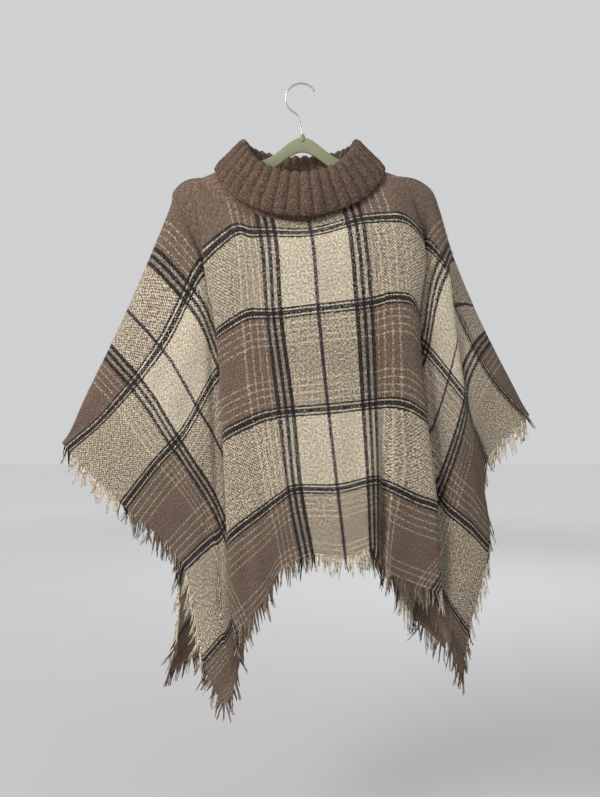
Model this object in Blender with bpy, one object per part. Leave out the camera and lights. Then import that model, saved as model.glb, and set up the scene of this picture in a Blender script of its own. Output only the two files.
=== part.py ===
"""Plaid wool poncho with a ribbed roll collar, hung on a flat clothes hanger.

The poncho is one woven square, folded over the hanger's shoulders, with a neck cut in its middle.
Metres, +Z up, +X to the viewer's right, -Y towards the viewer. The origin is where the hook hangs.
The tables are in centimetres.
"""
import math
from collections import namedtuple

import bmesh
import bpy
import numpy as np

CM = 0.01
SEAM = 0.0004

# Where the garment was measured from: places in the tables are as they line up with the hanger's
# plane from this eye, so what stands forward of that plane is drawn in towards the eye's line.
# Within PLANE_HALF of the plane, places are taken as they are.
EYE_DISTANCE = 150.0
EYE_DROP = 53.4
PLANE_HALF = 0.5

# The woven square
HALF_WIDTH = 70.7
CLOTH_LENGTH = 65.0
CLOTH_THICKNESS = 0.28
NECK_HALF = 17.7

# The neck's edge on each half: how deep it is cut, how square its left and right corners are, and
# the columns added near each corner, counted in folds from it
NeckCut = namedtuple("NeckCut", "depth left right left_steps right_steps")
NECK_FRONT = NeckCut(5.0, 2.2, 1.35, (0.025, 0.1), (0.2,))
NECK_BACK = NeckCut(3.0, 2.0, 2.0, (0.05, 0.2), (0.05, 0.2))

# The fold runs off the cloth's middle line towards each wing's tip, and the cloth rounds over
# before it hangs.
TIP_SLIP = 5.1
TIP_SLIP_FROM = 56.0
ROLL_OVER = 0.3
ROLL_LENGTH = 0.6

# Fringe: tapered locks on a narrow strip that lies just outside the cloth's edge
FRINGE_LENGTH = 2.5
FRINGE_PITCH = 2.3
STRIP_HEIGHT = 0.22
STRIP_THICKNESS = 0.22
STRIP_GAP = 0.08

# Hanger, and how close the cloth rests on it
HANGER_HALF = 20.6
HANGER_MIDDLE = 0.4
HANGER_THICKNESS = 0.46
HANGER_CROWN_DROP = 9.0
HANGER_NECK_DROP = 12.75
HANGER_NECK_HALF = 6.3
HANGER_SLOPE = 0.319
HANGER_HEIGHT = 2.6
HANGER_TIP_HEIGHT = 1.6
CLOTH_REST = 0.08

# Wire hook, and the nub that it stands in
WIRE_RADIUS = 0.175
HOOK_RADIUS = 2.6
NUB_RADIUS = 0.45
NUB_HEIGHT = 0.5

# Levels down the cloth, in its own length from the shoulder fold. All but the first and the last
# are where the woven bands of the plaid run.
LEVELS = (0.0, 7.3, 20.9, 37.7, 50.5, CLOTH_LENGTH)
ROWS = (0.0, 0.25, 0.8, 2.2, 4.6, 7.3, 13.5, 20.9, 29.0, 37.7, 44.0, 50.5, 58.0, CLOTH_LENGTH)
FRONT_STEPS = 2
BACK_STEPS = 2
PROBE = 0.05

# The fold over the shoulders: distance along the cloth from its middle, then where it hangs.
# Inside the neck it is only where the cloth would have run.
FoldLine = namedtuple("FoldLine", "along x drop")
FOLD_LINE = (
    FoldLine(-70.7, -40.3, 60.9),
    FoldLine(-59.5, -35.5, 51.5),
    FoldLine(-52.0, -32.8, 46.1),
    FoldLine(-44.0, -29.1, 38.1),
    FoldLine(-34.3, -25.0, 29.2),
    FoldLine(-26.9, -22.3, 22.0),
    FoldLine(-22.1, -20.9, 17.6),
    FoldLine(-17.7, -17.0, 15.9),
    FoldLine(-12.8, -12.6, 17.2),
    FoldLine(-7.1, -6.5, 19.6),
    FoldLine(0.0, 0.5, 20.6),
    FoldLine(7.8, 8.0, 18.5),
    FoldLine(13.0, 12.8, 16.8),
    FoldLine(17.7, 17.0, 15.7),
    FoldLine(22.1, 21.6, 17.4),
    FoldLine(26.4, 23.6, 21.6),
    FoldLine(34.0, 25.5, 28.2),
    FoldLine(40.0, 27.9, 34.7),
    FoldLine(52.7, 31.8, 43.0),
    FoldLine(62.0, 35.4, 50.0),
    FoldLine(70.7, 38.8, 56.1),
)

# One row for each fold of the cloth, from the left edge to the right one. "along" is where the
# fold starts on the shoulder fold. The other columns are the levels, each (x, drop, forward).
Fold = namedtuple("Fold", "name along yoke bust waist hip hem")
FRONT_FOLDS = (
    Fold("left_edge", -70.7, (-39.4, 62.1, 0.6), (-29.9, 71.6, 1.0),
         (-19.7, 82.1, 1.4), (-16.5, 97.4, 1.8), (-13.3, 105.1, 2.0)),
    Fold("left_outer", -59.5, (-32.1, 55.4, 1.6), (-24.7, 64.9, 2.4),
         (-16.7, 79.2, 2.8), (-14.6, 95.2, 2.8), (-12.2, 104.4, 2.8)),
    Fold("left_mid", -44.0, (-23.5, 44.4, 2.8), (-19.6, 59.0, 3.4),
         (-15.0, 77.7, 3.4), (-13.4, 93.8, 3.2), (-11.4, 102.7, 3.2)),
    Fold("left_inner", -26.9, (-17.5, 32.6, 3.0), (-15.1, 51.0, 3.4),
         (-13.1, 76.2, 3.4), (-12.2, 92.5, 3.2), (-10.7, 100.0, 3.0)),
    Fold("left_turn", -23.1, (-15.8, 31.2, 2.0), (-11.9, 46.9, 1.7),
         (-9.4, 68.5, 1.4), (-8.8, 84.0, 1.3), (-8.9, 92.4, 1.3)),
    Fold("left_return", -20.3, (-15.2, 30.2, 2.9), (-11.0, 45.6, 2.9),
         (-8.4, 66.2, 2.8), (-7.8, 81.8, 2.8), (-7.9, 90.0, 2.8)),
    Fold("left_under", -18.9, (-15.9, 29.5, 3.6), (-13.4, 43.3, 4.5),
         (-12.2, 61.4, 5.2), (-11.4, 77.8, 5.5), (-10.5, 93.2, 5.5)),
    Fold("left_lead", -17.7, (-16.0, 29.1, 4.4), (-13.8, 42.3, 5.8),
         (-12.6, 59.8, 6.6), (-11.9, 76.2, 7.0), (-10.9, 93.2, 7.0)),
    Fold("left_lobe", -12.8, (-11.2, 25.0, 5.4), (-9.2, 39.4, 6.8),
         (-7.3, 57.1, 7.5), (-6.1, 71.7, 7.9), (-6.1, 87.6, 7.6)),
    Fold("left_lobe_edge", -10.0, (-8.2, 25.3, 5.8), (-6.5, 39.1, 7.0),
         (-4.6, 56.3, 7.7), (-3.1, 69.5, 8.0), (-3.6, 82.8, 8.0)),
    Fold("centre_left", -7.1, (-5.1, 25.3, 6.0), (-4.1, 39.1, 7.3),
         (-1.9, 55.9, 8.0), (-0.7, 68.3, 8.4), (1.5, 80.1, 8.5)),
    Fold("centre", 0.0, (1.9, 25.3, 6.2), (3.1, 38.3, 7.6),
         (4.8, 55.4, 8.3), (6.3, 68.2, 8.6), (7.7, 80.4, 8.6)),
    Fold("centre_right", 7.8, (9.7, 23.3, 5.8), (11.2, 37.4, 7.2),
         (12.1, 54.6, 7.8), (12.6, 66.8, 8.0), (12.8, 78.7, 8.0)),
    Fold("right_tuck", 10.5, (12.1, 23.0, 5.5), (13.6, 36.9, 6.9),
         (13.9, 54.4, 7.4), (14.0, 67.4, 7.0), (13.9, 80.6, 6.3)),
    Fold("right_lobe_edge", 13.0, (14.5, 22.8, 5.3), (15.5, 36.4, 6.8),
         (16.3, 54.4, 7.5), (15.7, 68.0, 7.8), (15.2, 83.0, 7.8)),
    Fold("right_lobe", 15.5, (17.9, 23.0, 5.2), (18.7, 36.7, 6.4),
         (18.9, 55.1, 7.0), (19.7, 69.9, 7.2), (18.4, 84.5, 7.2)),
    Fold("right_lead", 17.7, (20.6, 25.8, 4.4), (20.1, 39.4, 5.6),
         (21.3, 56.8, 6.2), (22.8, 71.1, 6.4), (23.6, 86.4, 5.8)),
    Fold("right_under", 18.9, (20.4, 26.4, 3.6), (19.8, 40.2, 4.4),
         (21.0, 57.8, 4.8), (22.4, 72.2, 4.9), (23.3, 86.2, 4.5)),
    Fold("right_return", 20.3, (19.6, 27.4, 3.0), (17.6, 42.4, 2.9),
         (17.4, 61.0, 2.8), (18.4, 75.4, 2.8), (19.6, 83.6, 2.8)),
    Fold("right_turn", 23.1, (20.4, 28.0, 2.1), (18.6, 43.6, 1.7),
         (18.4, 63.2, 1.4), (19.4, 77.6, 1.3), (20.4, 85.4, 1.3)),
    Fold("right_inner", 26.4, (21.9, 27.5, 3.4), (21.4, 45.2, 3.8),
         (24.0, 71.2, 3.8), (25.0, 87.2, 4.0), (24.9, 93.6, 4.2)),
    Fold("flap_ridge", 34.0, (25.5, 32.0, 4.4), (26.9, 51.9, 4.2),
         (26.8, 73.8, 4.2), (26.3, 89.2, 4.0), (25.6, 95.9, 3.9)),
    Fold("flap_valley", 40.0, (25.0, 34.0, 2.0), (28.2, 54.1, 3.2),
         (28.9, 75.5, 3.4), (27.2, 90.6, 3.4), (26.2, 97.4, 3.3)),
    Fold("right_outer", 52.7, (29.2, 44.4, 2.6), (29.4, 58.5, 2.8),
         (30.4, 77.2, 2.6), (27.8, 91.5, 2.8), (26.7, 98.7, 2.7)),
    Fold("right_tip", 62.0, (33.8, 51.7, 1.8), (30.6, 61.5, 1.8),
         (31.3, 78.2, 1.8), (28.3, 92.1, 2.2), (27.1, 99.6, 2.1)),
    Fold("right_edge", 70.7, (38.4, 56.8, 0.6), (31.5, 64.3, 0.8),
         (32.0, 78.9, 1.2), (28.6, 92.6, 1.6), (27.4, 100.2, 1.6)),
)
BACK_FOLDS = (
    Fold("left_edge", -70.7, (-38.8, 61.5, -0.6), (-29.2, 70.2, -1.0),
         (-21.1, 80.9, -1.4), (-20.7, 92.0, -1.7), (-22.3, 100.3, -1.8)),
    Fold("left_outer", -59.5, (-32.0, 54.6, -1.4), (-24.1, 63.1, -2.2),
         (-18.7, 78.4, -2.6), (-18.7, 89.4, -2.8), (-20.1, 98.6, -2.8)),
    Fold("left_mid", -44.0, (-24.1, 42.7, -2.2), (-19.4, 57.1, -3.0),
         (-16.4, 75.0, -3.2), (-16.0, 86.9, -3.2), (-17.3, 96.6, -3.2)),
    Fold("left_inner", -26.9, (-18.4, 31.6, -2.8), (-15.8, 49.5, -3.4),
         (-13.8, 70.7, -3.4), (-13.2, 83.5, -3.4), (-13.7, 93.2, -3.4)),
    Fold("left_turn", -22.1, (-16.9, 29.6, -1.8), (-13.6, 46.1, -1.6),
         (-11.4, 65.6, -1.5), (-10.7, 78.8, -1.5), (-11.0, 89.0, -1.5)),
    Fold("left_lead", -17.7, (-15.0, 27.4, -2.6), (-11.2, 42.7, -3.2),
         (-9.0, 60.5, -3.4), (-8.2, 74.1, -3.5), (-8.4, 85.4, -3.5)),
    Fold("left_back", -10.0, (-9.6, 23.9, -3.2), (-6.2, 38.6, -3.5),
         (-4.0, 55.3, -3.6), (-3.2, 68.1, -3.6), (-3.2, 81.4, -3.6)),
    Fold("centre", 0.0, (0.3, 24.1, -3.3), (1.4, 37.6, -3.6),
         (2.4, 53.7, -3.6), (3.1, 66.5, -3.6), (3.4, 79.2, -3.6)),
    Fold("right_back", 10.0, (9.6, 23.0, -3.2), (10.4, 36.9, -3.5),
         (10.6, 53.7, -3.6), (10.6, 66.5, -3.6), (10.6, 79.8, -3.6)),
    Fold("right_lead", 17.7, (19.2, 25.6, -2.6), (18.0, 39.6, -3.2),
         (17.4, 56.6, -3.4), (17.0, 69.7, -3.5), (15.6, 84.2, -3.5)),
    Fold("right_turn", 22.1, (20.9, 27.4, -1.8), (20.6, 43.4, -1.6),
         (20.3, 62.2, -1.5), (19.8, 75.3, -1.5), (17.8, 88.4, -1.5)),
    Fold("right_inner", 26.4, (22.4, 28.8, -2.8), (22.9, 46.9, -3.4),
         (22.9, 67.3, -3.4), (22.3, 80.9, -3.4), (20.0, 91.3, -3.4)),
    Fold("right_mid", 34.0, (25.8, 35.0, -2.4), (26.5, 52.0, -3.0),
         (25.8, 71.6, -3.2), (24.5, 84.3, -3.2), (21.8, 93.0, -3.2)),
    Fold("right_outer", 52.7, (30.9, 46.1, -1.6), (29.6, 58.8, -2.2),
         (28.2, 75.8, -2.4), (25.8, 86.9, -2.4), (23.0, 94.2, -2.6)),
    Fold("right_edge", 70.7, (37.7, 56.8, -0.6), (31.3, 63.2, -1.0),
         (29.6, 78.4, -1.4), (26.9, 88.1, -1.7), (24.1, 95.0, -1.8)),
)

# Sections round the collar, from the turned edge over the rim to the base and back up between
# the two layers. Each ring is half as wide as "half", reaches "front" and "back" of the hanger's
# plane, and dips from its sides to its front and back. "rib" is its share of the ribs' depth.
Ring = namedtuple("Ring", "name half front back drop_front drop_side drop_back rib")
COLLAR_RINGS = (
    Ring("turned edge", 14.4, 6.7, 3.7, 22.2, 14.5, 17.5, 0.8),
    Ring("roll low", 13.7, 7.1, 3.9, 20.6, 13.4, 16.3, 1.0),
    Ring("roll middle", 12.1, 7.0, 4.0, 18.4, 11.8, 14.8, 1.0),
    Ring("roll high", 10.8, 6.5, 3.9, 16.5, 10.5, 13.4, 1.0),
    Ring("rim outside", 10.1, 5.9, 3.6, 15.4, 9.8, 12.5, 0.9),
    Ring("rim top", 9.6, 5.4, 3.2, 15.1, 9.55, 12.2, 0.7),
    Ring("rim inside", 9.1, 4.9, 2.8, 15.4, 9.9, 12.5, 0.3),
    Ring("stand high", 9.1, 4.6, 2.6, 17.0, 11.4, 14.0, 0.0),
    Ring("base inside", 12.1, 4.2, 2.2, 20.6, 13.75, 16.6, 0.0),
    Ring("base outside", 12.5, 4.6, 2.6, 20.6, 13.85, 16.6, 0.0),
    Ring("slot top", 9.6, 5.3, 3.1, 16.9, 11.1, 14.0, 0.0),
    Ring("roll inside", 11.6, 6.4, 3.5, 18.5, 12.1, 15.1, 0.0),
    Ring("turned edge inside", 13.9, 6.2, 3.3, 22.1, 14.4, 17.4, 0.0),
)
# Ribs round the collar: each is one column in the wave's valley and two on its crest.
RIB_COUNT = 38
RIB_DEPTH = 0.28
RIB_WAVE = (-0.5, 0.5, 0.5)
# The neck band rises from the neck's edge to this ring. It leaves the edge in line with the cloth.
BAND_TOP = Ring("band top", 12.3, 4.4, 2.4, 20.9, 14.15, 16.9, 0.0)
BAND_THICKNESS = 0.22
BAND_TURN = 0.3
BAND_GAP = 0.07
# How gently a collar ring turns where it dips at its sides
SIDE_SOFTNESS = 0.15

BROWN = (0.205, 0.140, 0.100)
PLAID = (0.300, 0.235, 0.175)
FRINGE = (0.360, 0.280, 0.210)
SAGE = (0.330, 0.320, 0.200)
CHROME = (0.620, 0.620, 0.600)


def place(x, drop, forward):
    """Turn a measured place, in centimetres, into a point in metres."""
    stands_off = np.maximum(np.abs(forward) - PLANE_HALF, 0.0) * np.sign(forward)
    shrink = 1.0 - stands_off / EYE_DISTANCE
    height = EYE_DROP + (np.asarray(drop, float) - EYE_DROP) * shrink
    return np.stack([np.asarray(x, float) * shrink, -np.asarray(forward, float), -height], -1) * CM


def hanger_top(x):
    """Drop of the hanger's upper edge: a hump in the middle and two straight arms."""
    reach = abs(x - HANGER_MIDDLE)
    if reach >= HANGER_NECK_HALF:
        return HANGER_NECK_DROP + HANGER_SLOPE * (reach - HANGER_NECK_HALF)
    share = reach / HANGER_NECK_HALF
    fall = HANGER_NECK_DROP - HANGER_CROWN_DROP
    slope = HANGER_SLOPE * HANGER_NECK_HALF
    ease = share * share * (3.0 - 2.0 * share)
    return HANGER_CROWN_DROP + fall * ease + slope * share * share * (share - 1.0)


def slopes(knots, values):
    """Slopes of a smooth curve through values at unevenly spaced knots."""
    steps = np.diff(knots)
    chords = np.diff(values, axis=0) / steps[:, None]
    before, after = steps[:-1, None], steps[1:, None]
    inner = (chords[:-1] * after + chords[1:] * before) / (before + after)
    return np.vstack([chords[:1], inner, chords[-1:]])


def hermite(start, end, slope_start, slope_end, width, share):
    """Cubic between two values that leaves and arrives with the given slopes."""
    a = (1.0 + 2.0 * share) * (1.0 - share) ** 2
    b = share * (1.0 - share) ** 2 * width
    c = share * share * (3.0 - 2.0 * share)
    d = share * share * (share - 1.0) * width
    return a * start + b * slope_start + c * end + d * slope_end


def curve_at(knots, values, tangents, at):
    """Point of a smooth curve at one knot value."""
    index = int(np.clip(np.searchsorted(knots, at, side="right") - 1, 0, len(knots) - 2))
    width = knots[index + 1] - knots[index]
    share = float(np.clip((at - knots[index]) / width, 0.0, 1.0))
    return hermite(values[index], values[index + 1], tangents[index], tangents[index + 1], width, share)


def fold_point(along):
    """Place on the shoulder fold, resting on the hanger where the hanger is under it."""
    knots = np.array([row.along for row in FOLD_LINE])
    values = np.array([(row.x, row.drop) for row in FOLD_LINE])
    x, drop = curve_at(knots, values, slopes(knots, values), along)
    if NECK_HALF - 0.1 <= abs(along) and abs(x - HANGER_MIDDLE) < HANGER_HALF:
        drop = hanger_top(x) - CLOTH_REST - CLOTH_THICKNESS / 2.0
    return np.array([x, drop, 0.0])


def tip_slip(along):
    """How far the fold over the arm runs off the cloth's middle line near the wing's tip."""
    share = max(0.0, (abs(along) - TIP_SLIP_FROM) / (HALF_WIDTH - TIP_SLIP_FROM))
    return TIP_SLIP * share * share


class FoldCurve:
    """One fold of the cloth as a smooth curve down its length."""

    def __init__(self, fold, side):
        self.top = tip_slip(fold.along)
        self.knots = np.array([self.top] + list(LEVELS[1:]))
        self.values = np.array([fold_point(fold.along), fold.yoke, fold.bust, fold.waist, fold.hip, fold.hem])
        self.tangents = slopes(self.knots, self.values)
        reach = np.linalg.norm(self.values[1] - self.values[0]) / (self.knots[1] - self.knots[0])
        self.tangents[0] = np.array([0.0, 0.0, side * 0.5 * reach])

    def at(self, down):
        return curve_at(self.knots, self.values, self.tangents, max(down, self.top))


class Cloth:
    """Smooth surface of one half of the square, over its folds and down its length."""

    def __init__(self, folds, side):
        self.side = side
        self.starts = [fold.along for fold in folds]
        self.curves = [FoldCurve(fold, side) for fold in folds]
        self.last = len(folds) - 1

    def along(self, position):
        """Distance along the shoulder fold of a position that counts the folds from the left."""
        return float(np.interp(position, range(self.last + 1), self.starts))

    def at(self, position, down):
        """Point of the cloth in metres."""
        position = min(max(position, 0.0), self.last)
        index = min(int(position), self.last - 1)
        share = position - index
        curves = self.curves
        here, there = curves[index].at(down), curves[index + 1].at(down)
        before = curves[index - 1].at(down) if index > 0 else 2.0 * here - there
        after = curves[index + 2].at(down) if index + 2 <= self.last else 2.0 * there - here
        x, drop, forward = hermite(here, there, (there - before) / 2.0, (after - here) / 2.0, 1.0, share)
        roll = min(1.0, max(0.0, down - tip_slip(self.along(position))) / ROLL_LENGTH)
        forward += self.side * ROLL_OVER * math.sin(math.pi / 2.0 * roll)
        return place(x, drop, forward)

    def normal(self, position, down):
        """Direction out of the cloth, away from the body."""
        over = self.at(position + PROBE, down) - self.at(position - PROBE, down)
        fall = self.at(position, down + PROBE) - self.at(position, down - PROBE)
        return self.side * unit(np.cross(fall, over))


def neck_edge(along, cut):
    """How far down the cloth the neck's edge lies."""
    share = min(1.0, abs(along) / NECK_HALF)
    squareness = cut.left if along < 0.0 else cut.right
    return cut.depth * (1.0 - share ** squareness) ** (1.0 / squareness)


def panel_grid(cloth, steps, cut):
    """Rows of points and normals on a panel, with each column's place along the fold."""
    positions = list(np.linspace(0.0, cloth.last, cloth.last * steps + 1))
    positions += [cloth.starts.index(-NECK_HALF) + step for step in cut.left_steps]
    positions += [cloth.starts.index(NECK_HALF) - step for step in cut.right_steps]
    positions.sort()
    along = np.array([cloth.along(position) for position in positions])
    points = np.zeros((len(ROWS), len(positions), 3))
    normals = np.zeros_like(points)
    for column, position in enumerate(positions):
        top = max(neck_edge(along[column], cut), tip_slip(along[column]))
        for row, fraction in enumerate(ROWS):
            down = top + (CLOTH_LENGTH - top) * fraction / CLOTH_LENGTH
            points[row, column] = cloth.at(position, down)
            normals[row, column] = cloth.normal(position, down)
    on_fold = np.abs(along) >= NECK_HALF - 0.01
    points[0, on_fold, 1] = -cloth.side * SEAM / 2.0
    normals[0, on_fold, 1] = 0.0
    on_hanger = on_fold & (np.abs(points[0, :, 0] - HANGER_MIDDLE * CM) < HANGER_HALF * CM)
    normals[0, on_hanger] = [(HANGER_SLOPE * np.sign(x), 0.0, 1.0) for x in points[0, on_hanger, 0]]
    normals[0] = unit(normals[0])
    return points, normals, along


def unit(vectors):
    """Vectors scaled to length one."""
    lengths = np.linalg.norm(vectors, axis=-1, keepdims=True)
    return vectors / np.maximum(lengths, 1e-12)


def make_object(name, vertices, faces, color, roughness, metallic=0.0):
    """Closed mesh object with outward faces and its own material."""
    mesh = bpy.data.meshes.new(name)
    mesh.from_pydata([tuple(v) for v in vertices], [], faces)
    work = bmesh.new()
    work.from_mesh(mesh)
    bmesh.ops.recalc_face_normals(work, faces=work.faces)
    work.to_mesh(mesh)
    work.free()
    mesh.shade_smooth()
    mesh.set_sharp_from_angle(angle=math.radians(50.0))
    material = bpy.data.materials.new(name)
    material.use_nodes = True
    shader = material.node_tree.nodes["Principled BSDF"]
    shader.inputs["Base Color"].default_value = (*color, 1.0)
    shader.inputs["Roughness"].default_value = roughness
    shader.inputs["Metallic"].default_value = metallic
    mesh.materials.append(material)
    thing = bpy.data.objects.new(name, mesh)
    bpy.context.scene.collection.objects.link(thing)
    return thing


def wall_mesh(outer, inner, closed=False):
    """Vertices and faces of a wall between two grids; closed joins the last column to the first."""
    rows, columns = outer.shape[:2]
    vertices = np.concatenate([outer.reshape(-1, 3), inner.reshape(-1, 3)])
    offset = rows * columns
    faces = []
    spans = columns if closed else columns - 1
    for row in range(rows - 1):
        for column in range(spans):
            after = (column + 1) % columns
            quad = [row * columns + column, row * columns + after,
                    (row + 1) * columns + after, (row + 1) * columns + column]
            faces.append(tuple(quad))
            faces.append(tuple(offset + corner for corner in reversed(quad)))
    for row in (0, rows - 1):
        for column in range(spans):
            start, end = row * columns + column, row * columns + (column + 1) % columns
            faces.append((start, end, offset + end, offset + start))
    if not closed:
        for column in (0, columns - 1):
            for row in range(rows - 1):
                start, end = row * columns + column, (row + 1) * columns + column
                faces.append((start, end, offset + end, offset + start))
    return vertices, faces


def add_panel(name, cloth, steps, cut):
    """One half of the square as a wall; returns its middle surface, normals and columns."""
    points, normals, along = panel_grid(cloth, steps, cut)
    half = CLOTH_THICKNESS / 2.0 * CM
    vertices, faces = wall_mesh(points + normals * half, points - normals * half)
    make_object(name, vertices, faces, PLAID, 0.95)
    return points, normals, along


def ring_point(ring, angle, push=0.0):
    """Point of a collar ring; angle 0 is the front, push moves it outwards."""
    facing = math.cos(angle)
    reach, drop_end = (ring.front, ring.drop_front) if facing > 0.0 else (ring.back, ring.drop_back)
    soft = SIDE_SOFTNESS
    dip = (math.hypot(facing, soft) - soft) / (math.hypot(1.0, soft) - soft)
    x = (ring.half + push) * math.sin(angle)
    forward = (reach + push) * facing
    return np.array([x, ring.drop_side + (drop_end - ring.drop_side) * dip, forward])


def add_collar():
    """Knitted roll collar: one ring-shaped wall, ribbed on its outside."""
    columns = RIB_COUNT * len(RIB_WAVE)
    vertices = []
    for ring in COLLAR_RINGS:
        for column in range(columns):
            wave = RIB_WAVE[column % len(RIB_WAVE)]
            angle = 2.0 * math.pi * column / columns
            vertices.append(place(*ring_point(ring, angle, wave * ring.rib * RIB_DEPTH)))
    count = len(COLLAR_RINGS)
    faces = []
    for row in range(count):
        for column in range(columns):
            after = (column + 1) % columns
            below = (row + 1) % count
            faces.append((row * columns + column, row * columns + after,
                          below * columns + after, below * columns + column))
    make_object("collar", vertices, faces, BROWN, 0.95)


def add_neck_band(front, back):
    """Plain strip from the neck cut up to the collar's base."""
    seam, seam_normals = [], []
    for points, normals, along in (front, back):
        inside = np.flatnonzero(np.abs(along) <= NECK_HALF + 0.01)
        seam.append(points[0, inside])
        seam_normals.append(normals[0, inside])
    lower = np.concatenate([seam[0], seam[1][-2:0:-1]])
    lower_normals = np.concatenate([seam_normals[0], seam_normals[1][-2:0:-1]])
    for corner, back_corner in ((0, 0), (len(seam[0]) - 1, -1)):
        lower[corner] = (seam[0][corner] + seam[1][back_corner]) / 2.0
        lower_normals[corner] = seam_normals[0][corner] + seam_normals[1][back_corner]
    lower_normals = unit(lower_normals)
    angles = np.arctan2(lower[:, 0] / 17.0, -lower[:, 1] / np.where(lower[:, 1] < 0.0, 5.0, 2.6))
    upper = np.array([place(*ring_point(BAND_TOP, angle)) for angle in angles])
    rim = unit(np.roll(lower, -1, axis=0) - lower) + unit(lower - np.roll(lower, 1, axis=0))
    lift = unit(np.cross(rim, lower_normals))
    lift *= np.sign(np.sum(lift * (upper - lower), axis=1, keepdims=True))
    lower = lower + lift * BAND_GAP * CM
    middle = lower + lift * BAND_TURN * CM
    grid = np.stack([lower, middle, upper])
    lift = unit(upper - middle)
    over = unit(np.roll(upper, -1, axis=0) - np.roll(upper, 1, axis=0))
    free = unit(np.cross(lift, over))
    free *= np.sign(np.sum(free * lower_normals, axis=1, keepdims=True))
    normals = np.stack([lower_normals, unit(free + lower_normals), free])
    half = BAND_THICKNESS / 2.0 * CM
    vertices, faces = wall_mesh(grid + normals * half, grid - normals * half, closed=True)
    make_object("neck_band", vertices, faces, BROWN, 0.95)


def add_fringe(name, edge, inner, normals, seed):
    """Narrow strip along an edge of the cloth, with tapered locks fused to its outer side."""
    draw = np.random.default_rng(seed)
    outward = unit(np.cross(np.gradient(edge, axis=0), normals))
    outward *= np.sign(np.sum(outward * (edge - inner)))
    outward = unit(outward + unit(edge - inner))
    half = STRIP_THICKNESS / 2.0 * CM
    bases, leans, thicks = [edge[0]], [outward[0]], [normals[0]]
    for index in range(len(edge) - 1):
        length = np.linalg.norm(edge[index + 1] - edge[index])
        parts = max(1, round(length / (FRINGE_PITCH * CM)))
        for part in range(1, parts + 1):
            share = part / parts
            bases.append(edge[index] * (1.0 - share) + edge[index + 1] * share)
            leans.append(unit(outward[index] * (1.0 - share) + outward[index + 1] * share))
            thicks.append(unit(normals[index] * (1.0 - share) + normals[index + 1] * share))
    bases, leans, thicks = np.array(bases), np.array(leans), np.array(thicks)
    top = bases + leans * STRIP_GAP * CM
    low = bases + leans * (STRIP_GAP + STRIP_HEIGHT) * CM
    rows = [top + thicks * half, top - thicks * half, low - thicks * half, low + thicks * half]
    count = len(bases)
    vertices = list(np.concatenate(rows))
    faces = []
    for index in range(count - 1):
        for side, after in ((0, 1), (1, 2), (3, 0)):
            faces.append((side * count + index, side * count + index + 1,
                          after * count + index + 1, after * count + index))
        add_lock(vertices, faces, [3 * count + index, 3 * count + index + 1,
                                   2 * count + index + 1, 2 * count + index], leans[index], draw)
    for end in (0, count - 1):
        faces.append(tuple(side * count + end for side in range(4)))
    make_object(name, vertices, faces, FRINGE, 0.95)


def add_lock(vertices, faces, root, lean, draw):
    """One four-sided lock of yarn that narrows from its root on the strip to a tip."""
    corners = np.array([vertices[index] for index in root])
    middle = corners.mean(axis=0)
    width = unit(corners[1] - corners[0])
    hang = unit(lean + np.array([0.0, 0.0, -0.3]) + width * draw.uniform(-0.2, 0.2))
    length = FRINGE_LENGTH * CM * draw.uniform(0.8, 1.1)
    waist = middle + hang * length * 0.45
    tip = middle + hang * length + width * length * draw.uniform(-0.12, 0.12)
    start = len(vertices)
    for corner in corners:
        vertices.append(waist + (corner - middle) * 0.5)
    vertices.append(tip)
    for index in range(4):
        after = (index + 1) % 4
        faces.append((root[index], root[after], start + after, start + index))
        faces.append((start + index, start + after, start + 4))


def add_panel_fringe(prefix, points, normals, seed):
    """Fringe on the hem and on both sides of one panel."""
    add_fringe(prefix + "_hem_fringe", points[-1], points[-2], normals[-1], seed)
    first = ROWS.index(7.3)
    for side, column, inner in (("left", 0, 1), ("right", -1, -2)):
        add_fringe("%s_%s_fringe" % (prefix, side), points[first:, column],
                   points[first:, inner], normals[first:, column], seed + 1)


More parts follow.
